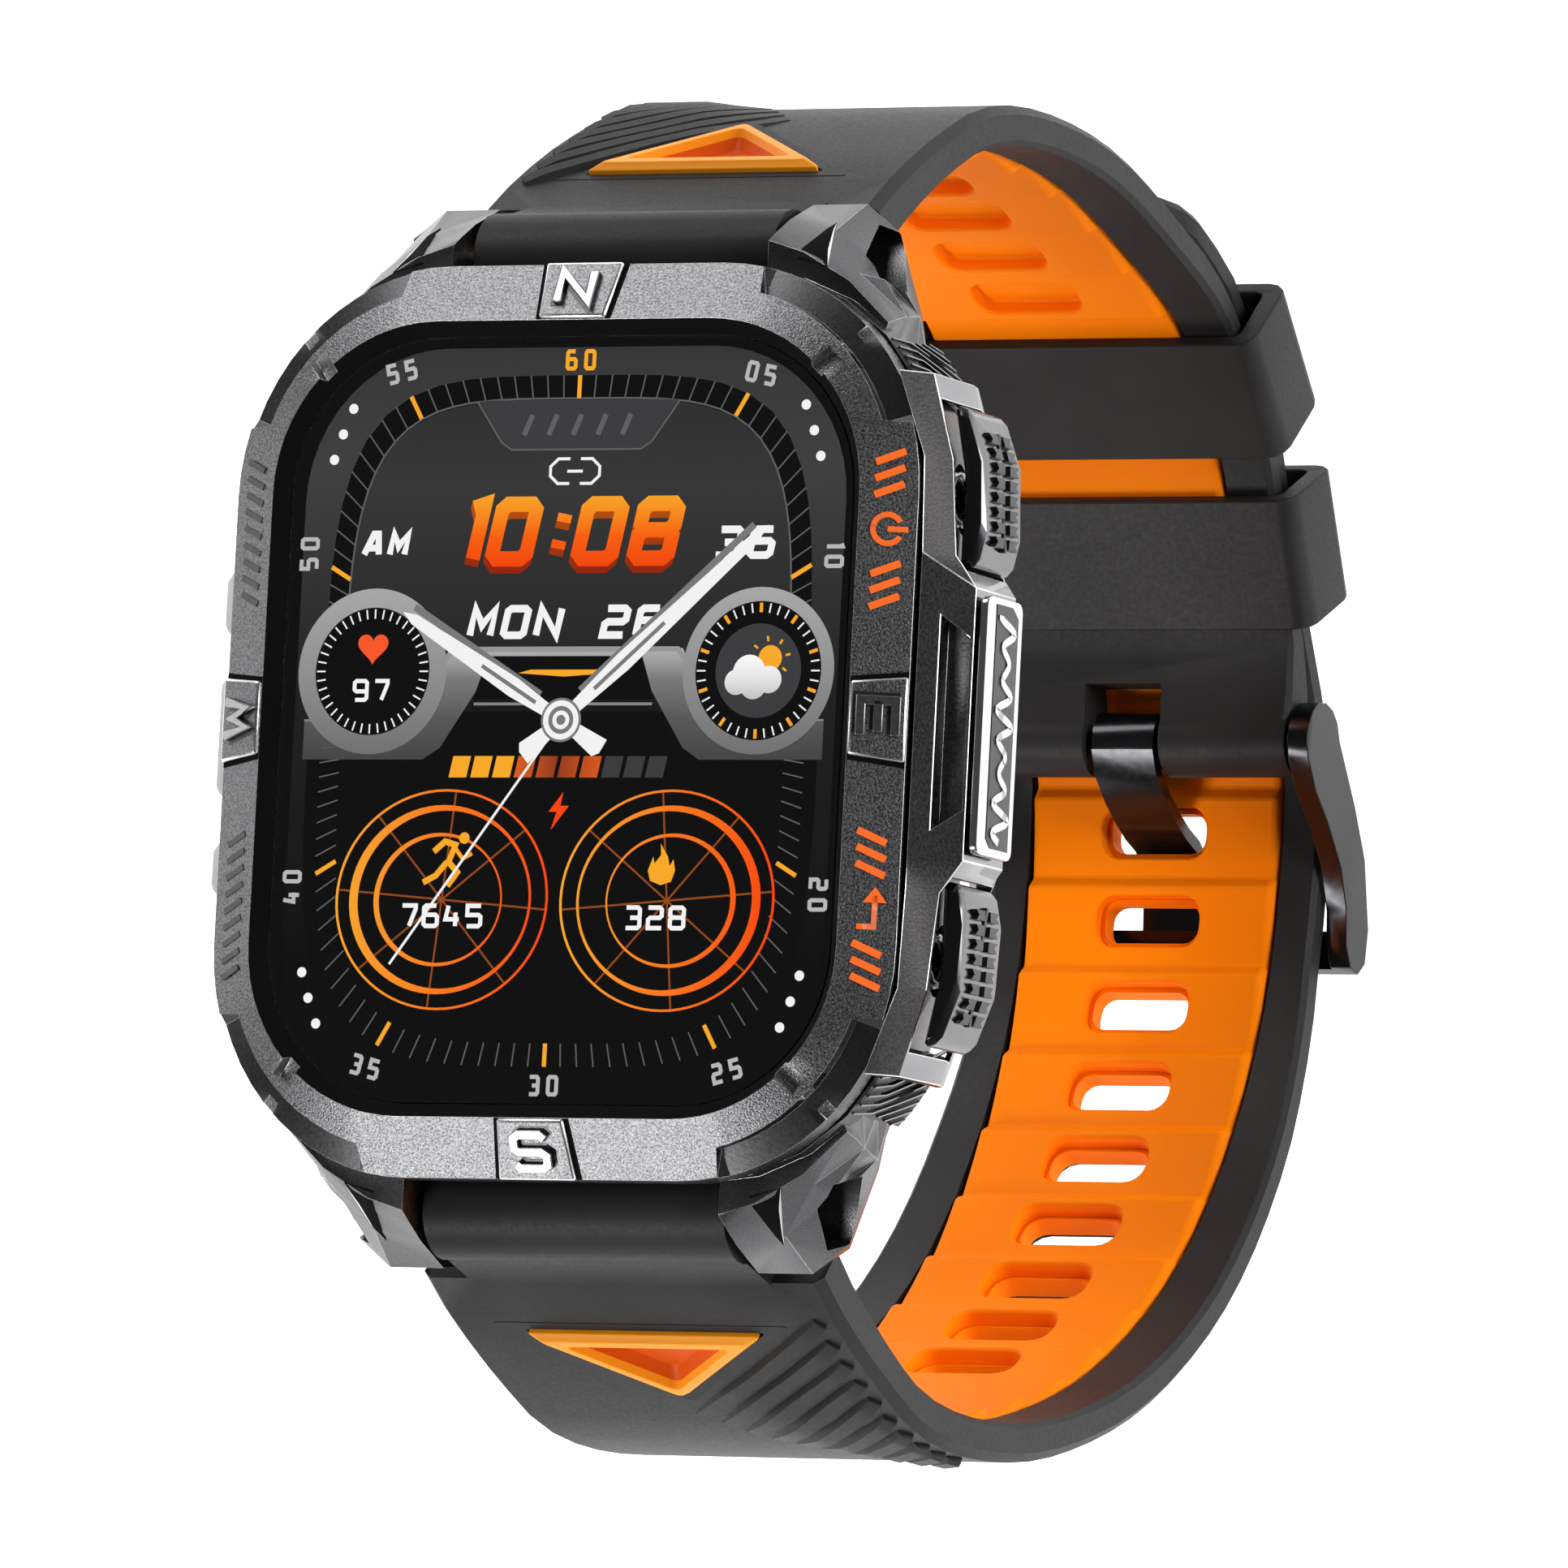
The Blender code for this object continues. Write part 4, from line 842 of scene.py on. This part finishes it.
def make_pads():
    """Raised compass pad with its letter in the middle of each bar, a painted shade strip in the slot round
    the pad and a painted shadow under the letter.
    """
    for side in "NESW":
        reach = 1.86 if side in "NS" else 1.68
        pad = bar_drawing(f"compass_pad_{side}", side, "bezel", -0.6, 0.92)
        pad.shape([(-2.5, reach), (-2.15, -reach), (2.15, -reach), (2.5, reach)])
        obj = pad.done()
        obj.data.materials.append(M["edge"])
        add_bevel(obj, 0.17, 2, 40, edge_material=1)
        # painted shade: a matt black strip round the pad stands for the shade in the slot beside it
        gap = bar_drawing(f"compass_gap_shade_{side}", side, "painted_shade", -0.3, 0.33)
        gap.shape([(-2.8, reach), (-2.42, -reach), (2.42, -reach), (2.8, reach)])
        gap.done()
        ground = bar_drawing(f"compass_shade_{side}", side, "black", 0.3, 0.05)
        ground.text(side, -0.16, -0.12, 2.72, 0.7, aspect=1.0)
        ground.done()
        letter = bar_drawing(f"compass_letter_{side}", side, "letter", 0.3, 0.36)
        letter.text(side, 0, 0, 2.6, 0.56, aspect=1.0)
        add_bevel(letter.done(), 0.06, 2, 40)


def make_bar_marks():
    """Generic marks where the side bars carry their legends."""
    orange = bar_drawing("side_marks_orange", "E", "label", 0.02, 0.05)
    for sign in (-1, 1):
        centre = sign * 11.0
        for k in (-4.2, -3.25, -2.3, 2.3, 3.25, 4.2):
            lean = 0.35 * sign
            orange.stroke([(centre + k - lean, -0.85), (centre + k + lean, 0.85)], 0.42)
    orange.ring(-11.0, 0, 1.0, 0.68, -240, 60, 30)
    orange.stroke([(-11.0, 0.0), (-11.0, 1.2)], 0.32)
    orange.stroke([(12.0, -0.65), (12.0, 0.35), (10.2, 0.35)], 0.32)
    orange.shape([(10.6, -0.35), (10.6, 1.05), (9.7, 0.35)])
    orange.done()
    dark = bar_drawing("side_marks_engraved", "W", "black", 0.012, 0.03)
    for sign in (-1, 1):
        for k in range(9):
            centre = sign * 11.0 + (k - 4) * 0.98
            lean = 0.32 * sign
            dark.stroke([(centre - lean, -0.8), (centre + lean, 0.8)], 0.36)
    dark.done()


def make_corner_hatch():
    """Slanted ribs over a dark ground on the case wall beside each lug."""
    for sx, sy, name in corners():
        def place(u, v, w, sx=sx, sy=sy):
            turn = math.radians(u)
            reach = 13.4 + w - 0.38 * max(0.0, v - 9.8)
            return sx * (9.5 + reach * math.cos(turn)), sy * (13.2 + reach * math.sin(turn)), v
        ground = Drawing(f"hatch_ground_{name}", M["black"], -0.1, 0.16, place, slot="case_metal")
        for a in range(24, 45, 3):
            ground.shape([(a, 5.0), (a + 3, 5.0), (a + 3, 10.85), (a, 10.85)])
        ground.done()
        ribs = Drawing(f"hatch_ribs_{name}", M["flank"], -0.05, 0.24, place, slot="case_metal")
        for k in range(9):
            for j in range(5):
                a, z = 30 + 2.9 * k - 2.2 * j, 10.7 - 1.1 * j
                if 23.5 < a < 45:
                    ribs.shape([(a, z), (a + 0.5, z), (a - 1.7, z - 1.1), (a - 2.2, z - 1.1)])
        ribs.done()


# ---------------------------------------------------------------- right and left sides

def paint_faces(obj, index, test):
    """Give the faces that pass a test another of the node's materials."""
    for face in obj.data.polygons:
        if test(face.normal, face.center / MM):
            face.material_index = index


def make_right_side():
    guard = dress("right_guard", "flank", "guard", "edge", bevel=0.15, edge_material=2)
    paint_faces(guard, 1, lambda n, c: n.z > 0.35 or n.x < 0.8)
    for label, side in (("power", 1), ("back", -1)):
        body = f"{label}_button"
        button = dress(body, "button", "dark", bevel=0.1)
        paint_faces(button, 1, lambda n, c: n.z > 0.55)
        make_tread(label, side, body)
        dress(f"{label}_button_spring", "steel")
        dress(f"{label}_button_seal", "black")
    dress("side_plate", "chrome", bevel=0.15)

    def place(u, v, w):
        return 26.1 + w, u, 8.85 + v
    inlay = Drawing("side_plate_inlay", M["black"], -0.05, 0.09, place, slot="chrome")
    inlay.shape([(-7.0, -1.7), (6.5, -1.7), (7.1, -0.9), (7.1, 1.2), (6.5, 1.2), (-6.5, 1.2), (-7.0, 0.6)])
    inlay.done()
    wave = Drawing("side_plate_wave", M["chrome"], 0.0, 0.12, place, slot="chrome")
    wave.stroke([(-6.6 + 0.12 * k, -0.25 + 1.02 * math.sin(0.42 * k) * (0.65 + 0.35 * math.sin(0.13 * k)))
                 for k in range(110)], 0.46)
    wave.done()


def make_tread(label, side, body):
    """Arrow-shaped grip studs in two rows along the button's outer face."""
    outline = [(10.2, 25.24), (11.2, 25.3), (15.4, 25.1), (17.3, 24.44)]

    def surface(y):
        for (a, low), (b, high) in zip(outline, outline[1:]):
            if y <= b:
                return low + (high - low) * (y - a) / (b - a)
        return outline[-1][1]

    def place(u, v, w):
        return surface(u) + w, side * u, 8.0 + v
    studs = Drawing(f"{label}_tread", M["black"], -0.1, 0.36, place, body=body, slot="button_metal")
    for k in range(8):
        u = 10.5 + 0.86 * k
        for row in (1, -1):
            arrow = [(0.0, 0.35), (0.6, 0.35), (0.6, 1.5), (0.3, 1.15), (0.0, 1.5)]
            studs.shape([(u + across, row * up) for across, up in arrow][::row])
    studs.shape([(10.3, -0.14), (17.2, -0.14), (17.2, 0.14), (10.3, 0.14)])
    studs.done()


def make_left_side():
    dress("left_guard", "plastic", bevel=0.3, segments=3, angle=20)


def drape(solid, case, spots, up, lift):
    """Three-sided patch laid over a node's surface by rays along -up; spots are its corners in mm."""
    steps = 8
    depth = 0.4
    to_local = case.matrix_world.inverted()
    first, second, third = (Vector(spot) for spot in spots)
    tops, bottoms = {}, {}
    for i in range(steps + 1):
        for j in range(steps + 1 - i):
            spot = first + (second - first) * (i / steps) + (third - first) * (j / steps)
            start = to_local @ ((spot + up * 4) * MM)
            hit, place, _, _ = case.ray_cast(start, (to_local.to_3x3() @ -up).normalized())
            rest = case.matrix_world @ place / MM if hit else spot
            tops[i, j] = solid.verts.new(rest + up * lift)
            bottoms[i, j] = solid.verts.new(rest - up * depth)
    for i in range(steps):
        for j in range(steps - i):
            cells = [((i, j), (i + 1, j), (i, j + 1))]
            if i + j < steps - 1:
                cells.append(((i + 1, j), (i + 1, j + 1), (i, j + 1)))
            for cell in cells:
                solid.faces.new([tops[key] for key in cell])
                solid.faces.new([bottoms[key] for key in cell[::-1]])
    edges = ([(k, 0) for k in range(steps + 1)], [(steps - k, k) for k in range(steps + 1)],
             [(0, steps - k) for k in range(steps + 1)])
    for edge in edges:
        for a, b in zip(edge, edge[1:]):
            solid.faces.new((tops[a], bottoms[a], bottoms[b], tops[b]))


def make_lug_details():
    """Painted shade and painted highlight on top of each lug: a dark three-sided patch for the shaded
    hollow, with one bright inner facet for its lit face.
    """
    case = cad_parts["mid_case"]
    for sx, sy, name in corners():
        up = Vector((0.2 * sx, 0.66 * sy, 0.72)).normalized()
        low, tip, high = ((sx * x, sy * y, z) for x, y, z in
                          ((12.2, 27.3, 10.2), (13.0, 29.9, 6.8), (14.2, 26.8, 10.2)))
        middle = tuple((a + 4 * b + 7 * c) / 12 for a, b, c in zip(low, tip, high))
        # painted shade: the matt black patch stands for the shaded hollow; painted highlight: the bright
        # polished facet stands for its lit inner face
        for part, spots, finish, lift in (("hollow", (low, tip, high), "painted_shade", 0.04),
                                          ("facet", (tip, high, middle), "edge", 0.06)):
            solid = bmesh.new()
            drape(solid, case, spots, up, lift)
            obj = finish_mesh(f"lug_{part}_{name}", solid, [M[finish]], "case", 20)


def make_case():
    dress("mid_case", "case", "edge", bevel=0.12, angle=17, edge_material=1, sharp=17)
    make_lug_details()
    for node, name in (("bezel_gasket", "black"), ("rear_gasket", "black"), ("main_board", "board"),
                       ("sensor_board", "board"), ("battery", "foil"), ("gps_antenna", "ceramic"),
                       ("speaker", "black"), ("display_flex", "gold"), ("vibration_motor", "steel"),
                       ("vibration_weight", "steel"), ("spring_bar_12", "steel"),
                       ("spring_bar_6", "steel")):
        dress(node, name)


# ---------------------------------------------------------------- back

def make_back():
    """Cover, sensor window, contacts and screws, with a black cross of painted shade for each cross recess.
    """
    dress("rear_cover", "black", bevel=0.25, segments=3)
    dress("sensor_window", "lens", bevel=0.3, segments=3)
    for number in (1, 2):
        dress(f"charge_pin_{number}", "gold", bevel=0.15, segments=3)
    for number in (1, 2, 3, 4):
        dress(f"rear_screw_{number}", "steel")
    make_sensor_marks()
    for number, (x, y) in enumerate(((1, 1), (-1, 1), (-1, -1), (1, -1))):
        # painted shade: a thin black cross on each screw head stands for its shaded cross recess
        cross = Drawing(f"screw_recess_shade_{number + 1}", M["black"], -0.625, 0.02,
                        lambda u, v, w, x=x, y=y: (15.05 * x + u, 18.45 * y + v, -w), slot="steel")
        cross.shape([(-0.6, -0.13), (0.6, -0.13), (0.6, 0.13), (-0.6, 0.13)])
        cross.shape([(-0.13, -0.6), (0.13, -0.6), (0.13, 0.6), (-0.13, 0.6)])
        cross.done()


def make_sensor_marks():
    """Rim of the sensor window, with its light cells and lamps."""
    def flat(u, v, w):
        return u, v, -w
    rim = Drawing("sensor_rim", M["edge"], -0.6, 0.12, flat, slot="steel")
    rim.ring(0, 0, 11.75, 11.35, steps=96)
    rim.done()
    cells = Drawing("sensor_cells", M["foil"], 0.0, 0.012, flat, slot="sensor_glass")
    for turn in (45, 135, 225, 315):
        x, y = 5.6 * math.cos(math.radians(turn)), 5.6 * math.sin(math.radians(turn))
        cells.shape([(x - 1.5, y - 1.1), (x + 1.5, y - 1.1), (x + 1.5, y + 1.1), (x - 1.5, y + 1.1)])
    cells.ring(0, 0, 9.2, 9.05, steps=96)
    cells.done()
    lamps = Drawing("sensor_lamps", INKS["lamp"], 0.0, 0.014, flat, slot="sensor_glass")
    for x in (-0.85, 0.85):
        lamps.shape([(x - 0.55, -0.55), (x + 0.55, -0.55), (x + 0.55, 0.55), (x - 0.55, 0.55)])
    lamps.done()


# ---------------------------------------------------------------- strap

UPPER_LINE = [(26.2, 3.4), (28.6, 0.7), (30.7, -1.8), (34.4, -7.5), (37.4, -14.1), (38.4, -22.5),
              (37.6, -32.5), (34.4, -43.3), (32.2, -49.0), (30.3, -51.9), (25.1, -56.6),
              (22.4, -58.1), (14.8, -61.9), (11.2, -62.9), (7.9, -63.0)]
LOWER_LINE = [(-26.2, 3.4), (-28.6, 0.7), (-30.7, -1.8), (-34.1, -7.5), (-36.9, -14.0),
              (-37.7, -22.5), (-36.7, -32.5), (-33.2, -44.2), (-27.0, -54.8), (-18.6, -62.5),
              (-8.5, -67.4), (2.5, -68.9), (8.0, -68.0), (15.8, -63.9), (23.4, -60.1),
              (26.6, -58.3), (32.9, -52.6), (34.9, -49.6), (36.7, -45.4), (37.9, -41.6)]
HOLE_PITCH = 5.65
HOLE_COUNT = 12
SLOT_HALF = 3.55                  # half length of every slot across the strap
LINER_HALF = 8.45
LINER_THICK = 0.85
LINER_STEP = 0.6                  # depth of each step on the wrist side
RIB_PITCH = 1.6
RIB_REACH = 11.6                  # half width of the strap that the ribs run out to


def strap_piece(name, solid, finish, smooth):
    """Finished piece of the strap with one material."""
    obj = finish_mesh(name, solid, [M[finish]], "strap", smooth)
    return obj


class StrapLine:
    """Smooth wrist-side line of one strap half in the YZ plane, measured by arc length."""

    def __init__(self, knots, side):
        self.side = side
        self.points = []
        ends = [knots[0], *knots, knots[-1]]
        for a, b, c, d in zip(ends, ends[1:], ends[2:], ends[3:]):
            a, b, c, d = (Vector(point) for point in (a, b, c, d))
            for step in range(12):
                t = step / 12
                self.points.append(0.5 * (2 * b + (c - a) * t + (2 * a - 5 * b + 4 * c - d) * t ** 2
                                          + (3 * b - a - 3 * c + d) * t ** 3))
        self.points.append(Vector(knots[-1]))
        self.lengths = [0.0]
        for first, second in zip(self.points, self.points[1:]):
            self.lengths.append(self.lengths[-1] + (second - first).length)
        self.total = self.lengths[-1]

    def point(self, s):
        s = min(max(s, 0.0), self.total)
        k = max(i for i, length in enumerate(self.lengths[:-1]) if length <= s)
        span = self.lengths[k + 1] - self.lengths[k]
        return self.points[k].lerp(self.points[k + 1], (s - self.lengths[k]) / span)

    def frame(self, s):
        along = (self.point(s + 0.4) - self.point(s - 0.4)).normalized()
        return self.point(s), along, Vector((along.y, -along.x)) * self.side

    def nearest(self, y, z):
        target = Vector((y, z))
        return self.lengths[min(range(len(self.points)), key=lambda k: (self.points[k] - target).length)]

    def world(self, x, s, out):
        here, _, normal = self.frame(s)
        spot = here + normal * out
        return x, spot.x, spot.y


def shoulder_thickness(s, shoulder):
    """Thickness of either strap half over its first 12 mm."""
    return 3.1 - 0.65 * min(1.0, max(0.0, (s - shoulder) / 12))


def flat_frame(line, s, out):
    """Map (x, distance along the strap, height) from a flat patch touching the strap at s."""
    here, along, normal = line.frame(s)
    origin = here + normal * out

    def place(u, v, w):
        spot = origin + along * v + normal * w
        return u, spot.x, spot.y
    return place


def inset(outline, distance):
    """Counter-clockwise outline moved inwards, keeping its edges parallel."""
    moved = []
    count = len(outline)
    for k, point in enumerate(outline):
        here = Vector(point)
        first = (here - Vector(outline[k - 1])).normalized()
        second = (Vector(outline[(k + 1) % count]) - here).normalized()
        one, two = Vector((-first.y, first.x)), Vector((-second.y, second.x))
        normal = (one + two).normalized()
        moved.append(tuple(here + normal * distance / normal.dot(one)))
    return moved


def make_triangle(label, line, shoulder):
    """Glossy accent: a raised triangular rim with a stepped hollow, its floor darker orange as painted
    shade.
    """
    s = shoulder + 7.2
    place = flat_frame(line, s, shoulder_thickness(s, shoulder))
    triangle = [(-8.1, -3.1), (7.45, -3.1), (0.0, 3.22)]
    levels = [(0.0, -0.65), (0.0, 0.35), (0.32, 0.78), (0.8, 0.78), (1.0, 0.3), (1.55, -0.35)]
    solid = bmesh.new()
    rings = []
    for distance, height in levels:
        rings.append([place(u, v, height) for u, v in round_corners(inset(triangle, distance), 0.5)])
    skin(solid, rings)
    piece = strap_piece(f"{label}_accent", solid, "accent", 25)
    piece.data.materials.append(M["accent_shade"])
    centre = Vector(place(0.0, -1.0, 0.0))
    out = (Vector(place(0.0, -1.0, 1.0)) - centre).normalized()
    # painted shade: outward faces low in the hollow take the darker orange
    paint_faces(piece, 1, lambda n, c: n.dot(out) > 0.3 and (c - centre).dot(out) < 0.2)
    add_bevel(piece, 0.07, 2, 25)
    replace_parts(piece, f"{label}_triangle")
    make_lip(label, place)


def make_lip(label, place):
    """Black rubber rim round the accent."""
    rim = [(-9.2, -3.45), (8.55, -3.45), (0.0, 3.85)]
    solid = bmesh.new()
    rings = []
    for distance, height in ((-0.35, -0.3), (-0.35, 0.1), (0.3, 0.1), (0.3, -0.9)):
        rings.append([place(u, v, height) for u, v in round_corners(inset(rim, distance), 0.5)])
    skin(solid, rings, closed_stack=True, caps=False)
    strap_piece(f"{label}_accent_lip", solid, "rubber", 25)


def round_corners(outline, radius):
    """Cut every corner of an outline with a short curve."""
    points = []
    count = len(outline)
    for k, point in enumerate(outline):
        here = Vector(point)
        first = Vector(outline[k - 1]) - here
        second = Vector(outline[(k + 1) % count]) - here
        a = here + first.normalized() * min(radius, first.length / 3)
        b = here + second.normalized() * min(radius, second.length / 3)
        for t in (0, 1 / 3, 2 / 3, 1):
            points.append(tuple(a * (1 - t) ** 2 + here * 2 * t * (1 - t) + b * t ** 2))
    return points


def make_ribs(label, line, shoulder, side):
    """Feathered ridges beside the accent, parallel to its outer edge."""
    solid = bmesh.new()
    edge = Vector((-7.4, 6.35)).normalized()
    across = Vector((edge.y, -edge.x))
    tip = Vector((0.0, 10.9))
    for k in range(10):
        centre = tip + across * (RIB_PITCH + RIB_PITCH * k)
        low = centre - edge * ((RIB_REACH - centre.x) / -edge.x)
        high = centre + edge * 2.4
        rings = []
        for step in range(13):
            share = step / 12
            spot = low.lerp(high, share)
            tall = 0.5 * min(1.0, 8 * share + 0.5, 3 * (1 - share) + 0.05)
            ring = []
            for offset, height in ((-0.6, -0.15), (0.55, -0.15), (0.5, tall), (-0.25, tall * 0.75)):
                place = spot + across * offset
                x, s = place.x, shoulder + place.y
                ring.append(line.world(side * x, s, shoulder_thickness(s, shoulder) + height))
            rings.append(ring)
        skin(solid, rings)
    strap_piece(f"{label}_ribs", solid, "rubber", 25)


def liner_height(s, first):
    """Depth of the stepped wrist face: a slow ramp and a quick return once a hole pitch."""
    share = ((s - first) / HOLE_PITCH + 0.5) % 1.0
    return -LINER_STEP * (share / 0.88 if share < 0.88 else (1 - share) / 0.12)


def make_liner(label, line, low, high, first):
    """Stepped orange inlay on the wrist side."""
    solid = bmesh.new()
    stations = [low]
    for k in range(-30, 31):
        for share in (0.38, 0.19, 0.0, -0.19, -0.38, -0.5):
            s = first + HOLE_PITCH * (k + share)
            if low + 0.15 < s < high - 0.15:
                stations.append(s)
    stations = sorted(stations) + [high]
    rings = []
    for s in stations:
        inner = liner_height(s, first)
        section = [(-LINER_HALF, inner + 0.3), (-LINER_HALF + 0.3, inner), (LINER_HALF - 0.3, inner),
                   (LINER_HALF, inner + 0.3), (LINER_HALF, LINER_THICK), (-LINER_HALF, LINER_THICK)]
        rings.append([line.world(x, s, out) for x, out in section])
    skin(solid, rings)
    return finish_mesh(f"{label}_inlay", solid, [M["liner"]], None, 22)


def cut_slot(liner, line, s, half_y, high, radius):
    """Cut one rounded slot through or into the liner at s along the strap."""
    solid = bmesh.new()
    slab(solid, rounded_rect(SLOT_HALF, half_y, radius, 4), flat_frame(line, s, 0.0), -3.0, high)
    carve(liner, finish_mesh("slot_cutter", solid, [], None))


def make_lower_strap():
    line = StrapLine(LOWER_LINE, 1)
    shoulder = line.nearest(-29.0, 0.1) + 0.4
    make_triangle("lower", line, shoulder)
    make_ribs("lower", line, shoulder, 1)
    first = line.nearest(2.3, -68.9)
    liner = make_liner("lower", line, shoulder + 3.5, line.total - 7.0, first)
    sleeves = bmesh.new()
    for k in range(HOLE_COUNT):
        s = first + (3 - k) * HOLE_PITCH
        cut_slot(liner, line, s, 1.6, 4.0, 1.2)
        place = flat_frame(line, s, 0.0)
        rings = []
        for half_x, half_y, height in ((3.52, 1.57, 0.5), (3.22, 1.27, 0.45), (3.22, 1.27, 1.7),
                                       (3.52, 1.57, 1.7)):
            rings.append([place(u, v, height) for u, v in rounded_rect(half_x, half_y, half_y * 0.75, 4)])
        skin(sleeves, rings, closed_stack=True, caps=False)
    dress_liner(liner, "lower")
    strap_piece("lower_hole_sleeves", sleeves, "liner", 40)
    dress("lower_strap", "rubber", bevel=0.2, segments=3)


def dress_liner(liner, label):
    liner.data.materials.clear()
    liner.data.materials.append(M["liner"])
    liner.data.set_sharp_from_angle(angle=math.radians(25))
    add_bevel(liner, 0.16, 2, 30)
    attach(liner, "strap")
    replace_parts(liner, f"{label}_liner")


def make_upper_strap():
    line = StrapLine(UPPER_LINE, -1)
    shoulder = line.nearest(29.0, 0.1) + 0.4
    make_triangle("upper", line, shoulder)
    make_ribs("upper", line, shoulder, -1)
    low, high = shoulder + 3.5, line.nearest(18.0, -60.3)
    first = line.nearest(37.0, -36.0) - 0.6
    liner = make_liner("upper", line, low, high, first)
    for k in range(-5, 3):
        cut_slot(liner, line, first + k * HOLE_PITCH, 1.5, 0.4, 1.1)
    dress_liner(liner, "upper")
    dress("upper_strap", "rubber", bevel=0.2, segments=3)


def make_fittings():
    for node in ("fixed_keeper", "free_keeper"):
        dress(node, "rubber", bevel=0.4, segments=3)
    dress("buckle_frame", "dark", bevel=0.3, segments=3)
    dress("buckle_tang", "dark", bevel=0.2, segments=3, angle=40)
    dress("buckle_bar", "dark")


# ---------------------------------------------------------------- camera, light and floor

FLOOR_DROP = 6.0                  # mm below the strap, so that it clears the floor when it swings
CAMERA_DISTANCE = 961.3           # mm from the plane through the bezel's top
CAMERA_TURN = (26.37, -5.77, 2.94)  # degrees: towards +X, towards +Y, roll
CAMERA_AIM = (13.46, -3.85)       # picture centre from the bezel's centre, right and up in mm
CAMERA_SPAN = 90.87               # picture width in mm at that plane
SENSOR_WIDTH = 36                 # mm


def make_camera():
    turn, lift, roll = (math.radians(angle) for angle in CAMERA_TURN)
    right = Vector((math.cos(turn), 0, -math.sin(turn)))
    back = Vector((math.sin(turn) * math.cos(lift), math.sin(lift), math.cos(turn) * math.cos(lift)))
    up = back.cross(right)
    right_rolled = right * math.cos(roll) + up * math.sin(roll)
    up_rolled = up * math.cos(roll) - right * math.sin(roll)
    spot = Vector((0, 0, TOP)) + back * CAMERA_DISTANCE
    spot += right_rolled * CAMERA_AIM[0] + up_rolled * CAMERA_AIM[1]
    camera = bpy.data.objects.new("camera", bpy.data.cameras.new("camera"))
    bpy.context.scene.collection.objects.link(camera)
    camera.data.sensor_width = SENSOR_WIDTH
    camera.data.lens = SENSOR_WIDTH * CAMERA_DISTANCE / CAMERA_SPAN
    camera.data.clip_start = 0.01
    camera.data.clip_end = 20
    axes = Matrix((right_rolled, up_rolled, back)).transposed()
    camera.matrix_world = Matrix.Translation(spot * MM) @ axes.to_4x4()
    bpy.context.scene.camera = camera


def add_light(name, place, aim, size, power):
    data = bpy.data.lights.new(name, "AREA")
    data.shape = "RECTANGLE"
    data.size, data.size_y = size
    data.energy = power
    light = bpy.data.objects.new(name, data)
    bpy.context.scene.collection.objects.link(light)
    light.location = place
    light.rotation_euler = (Vector(aim) - Vector(place)).to_track_quat("-Z", "Y").to_euler()


def make_stage():
    bottom = CAD_BOX[0][2] - FLOOR_DROP * MM
    solid = bmesh.new()
    bmesh.ops.create_grid(solid, x_segments=1, y_segments=1, size=900)
    floor = finish_mesh("floor", solid, [], None)
    floor.location.z = bottom
    made, _, shader = new_material("floor_white", (0.9, 0.9, 0.9), 0.9)
    shader.inputs["Emission Color"].default_value = (1, 1, 1, 1)
    shader.inputs["Emission Strength"].default_value = 0.82
    floor.data.materials.append(made)
    world = bpy.data.worlds.new("studio")
    bpy.context.scene.world = world
    world.use_nodes = True
    tree = world.node_tree
    place = tree.nodes.new("ShaderNodeTexCoord")
    split = tree.nodes.new("ShaderNodeSeparateXYZ")
    tree.links.new(place.outputs["Generated"], split.inputs[0])
    ramp(tree, split.outputs["Z"], [(0.0, 1.0), (0.12, 1.0), (0.26, 0.11), (1.0, 0.08)],
         tree.nodes["Background"].inputs["Color"])
    add_light("box_far", (-0.26, 0.5, 0.3), (0, 0.02, 0), (0.3, 0.3), 2.0)
    add_light("box_near", (-0.26, -0.42, 0.42), (0, -0.02, 0), (0.24, 0.2), 2.8)
    add_light("box_left", (-0.62, 0.05, 0.2), (0, 0, 0), (0.12, 0.5), 0.4)
    add_light("box_right", (0.55, 0.1, 0.1), (0, 0, -0.02), (0.3, 0.5), 2.8)
    bpy.context.scene.view_settings.view_transform = "Standard"


def main():
    make_bezel()
    make_pads()
    make_bar_marks()
    make_display()
    make_case()
    make_corner_hatch()
    make_right_side()
    make_left_side()
    make_back()
    make_upper_strap()
    make_lower_strap()
    make_fittings()
    make_camera()
    make_stage()


main()
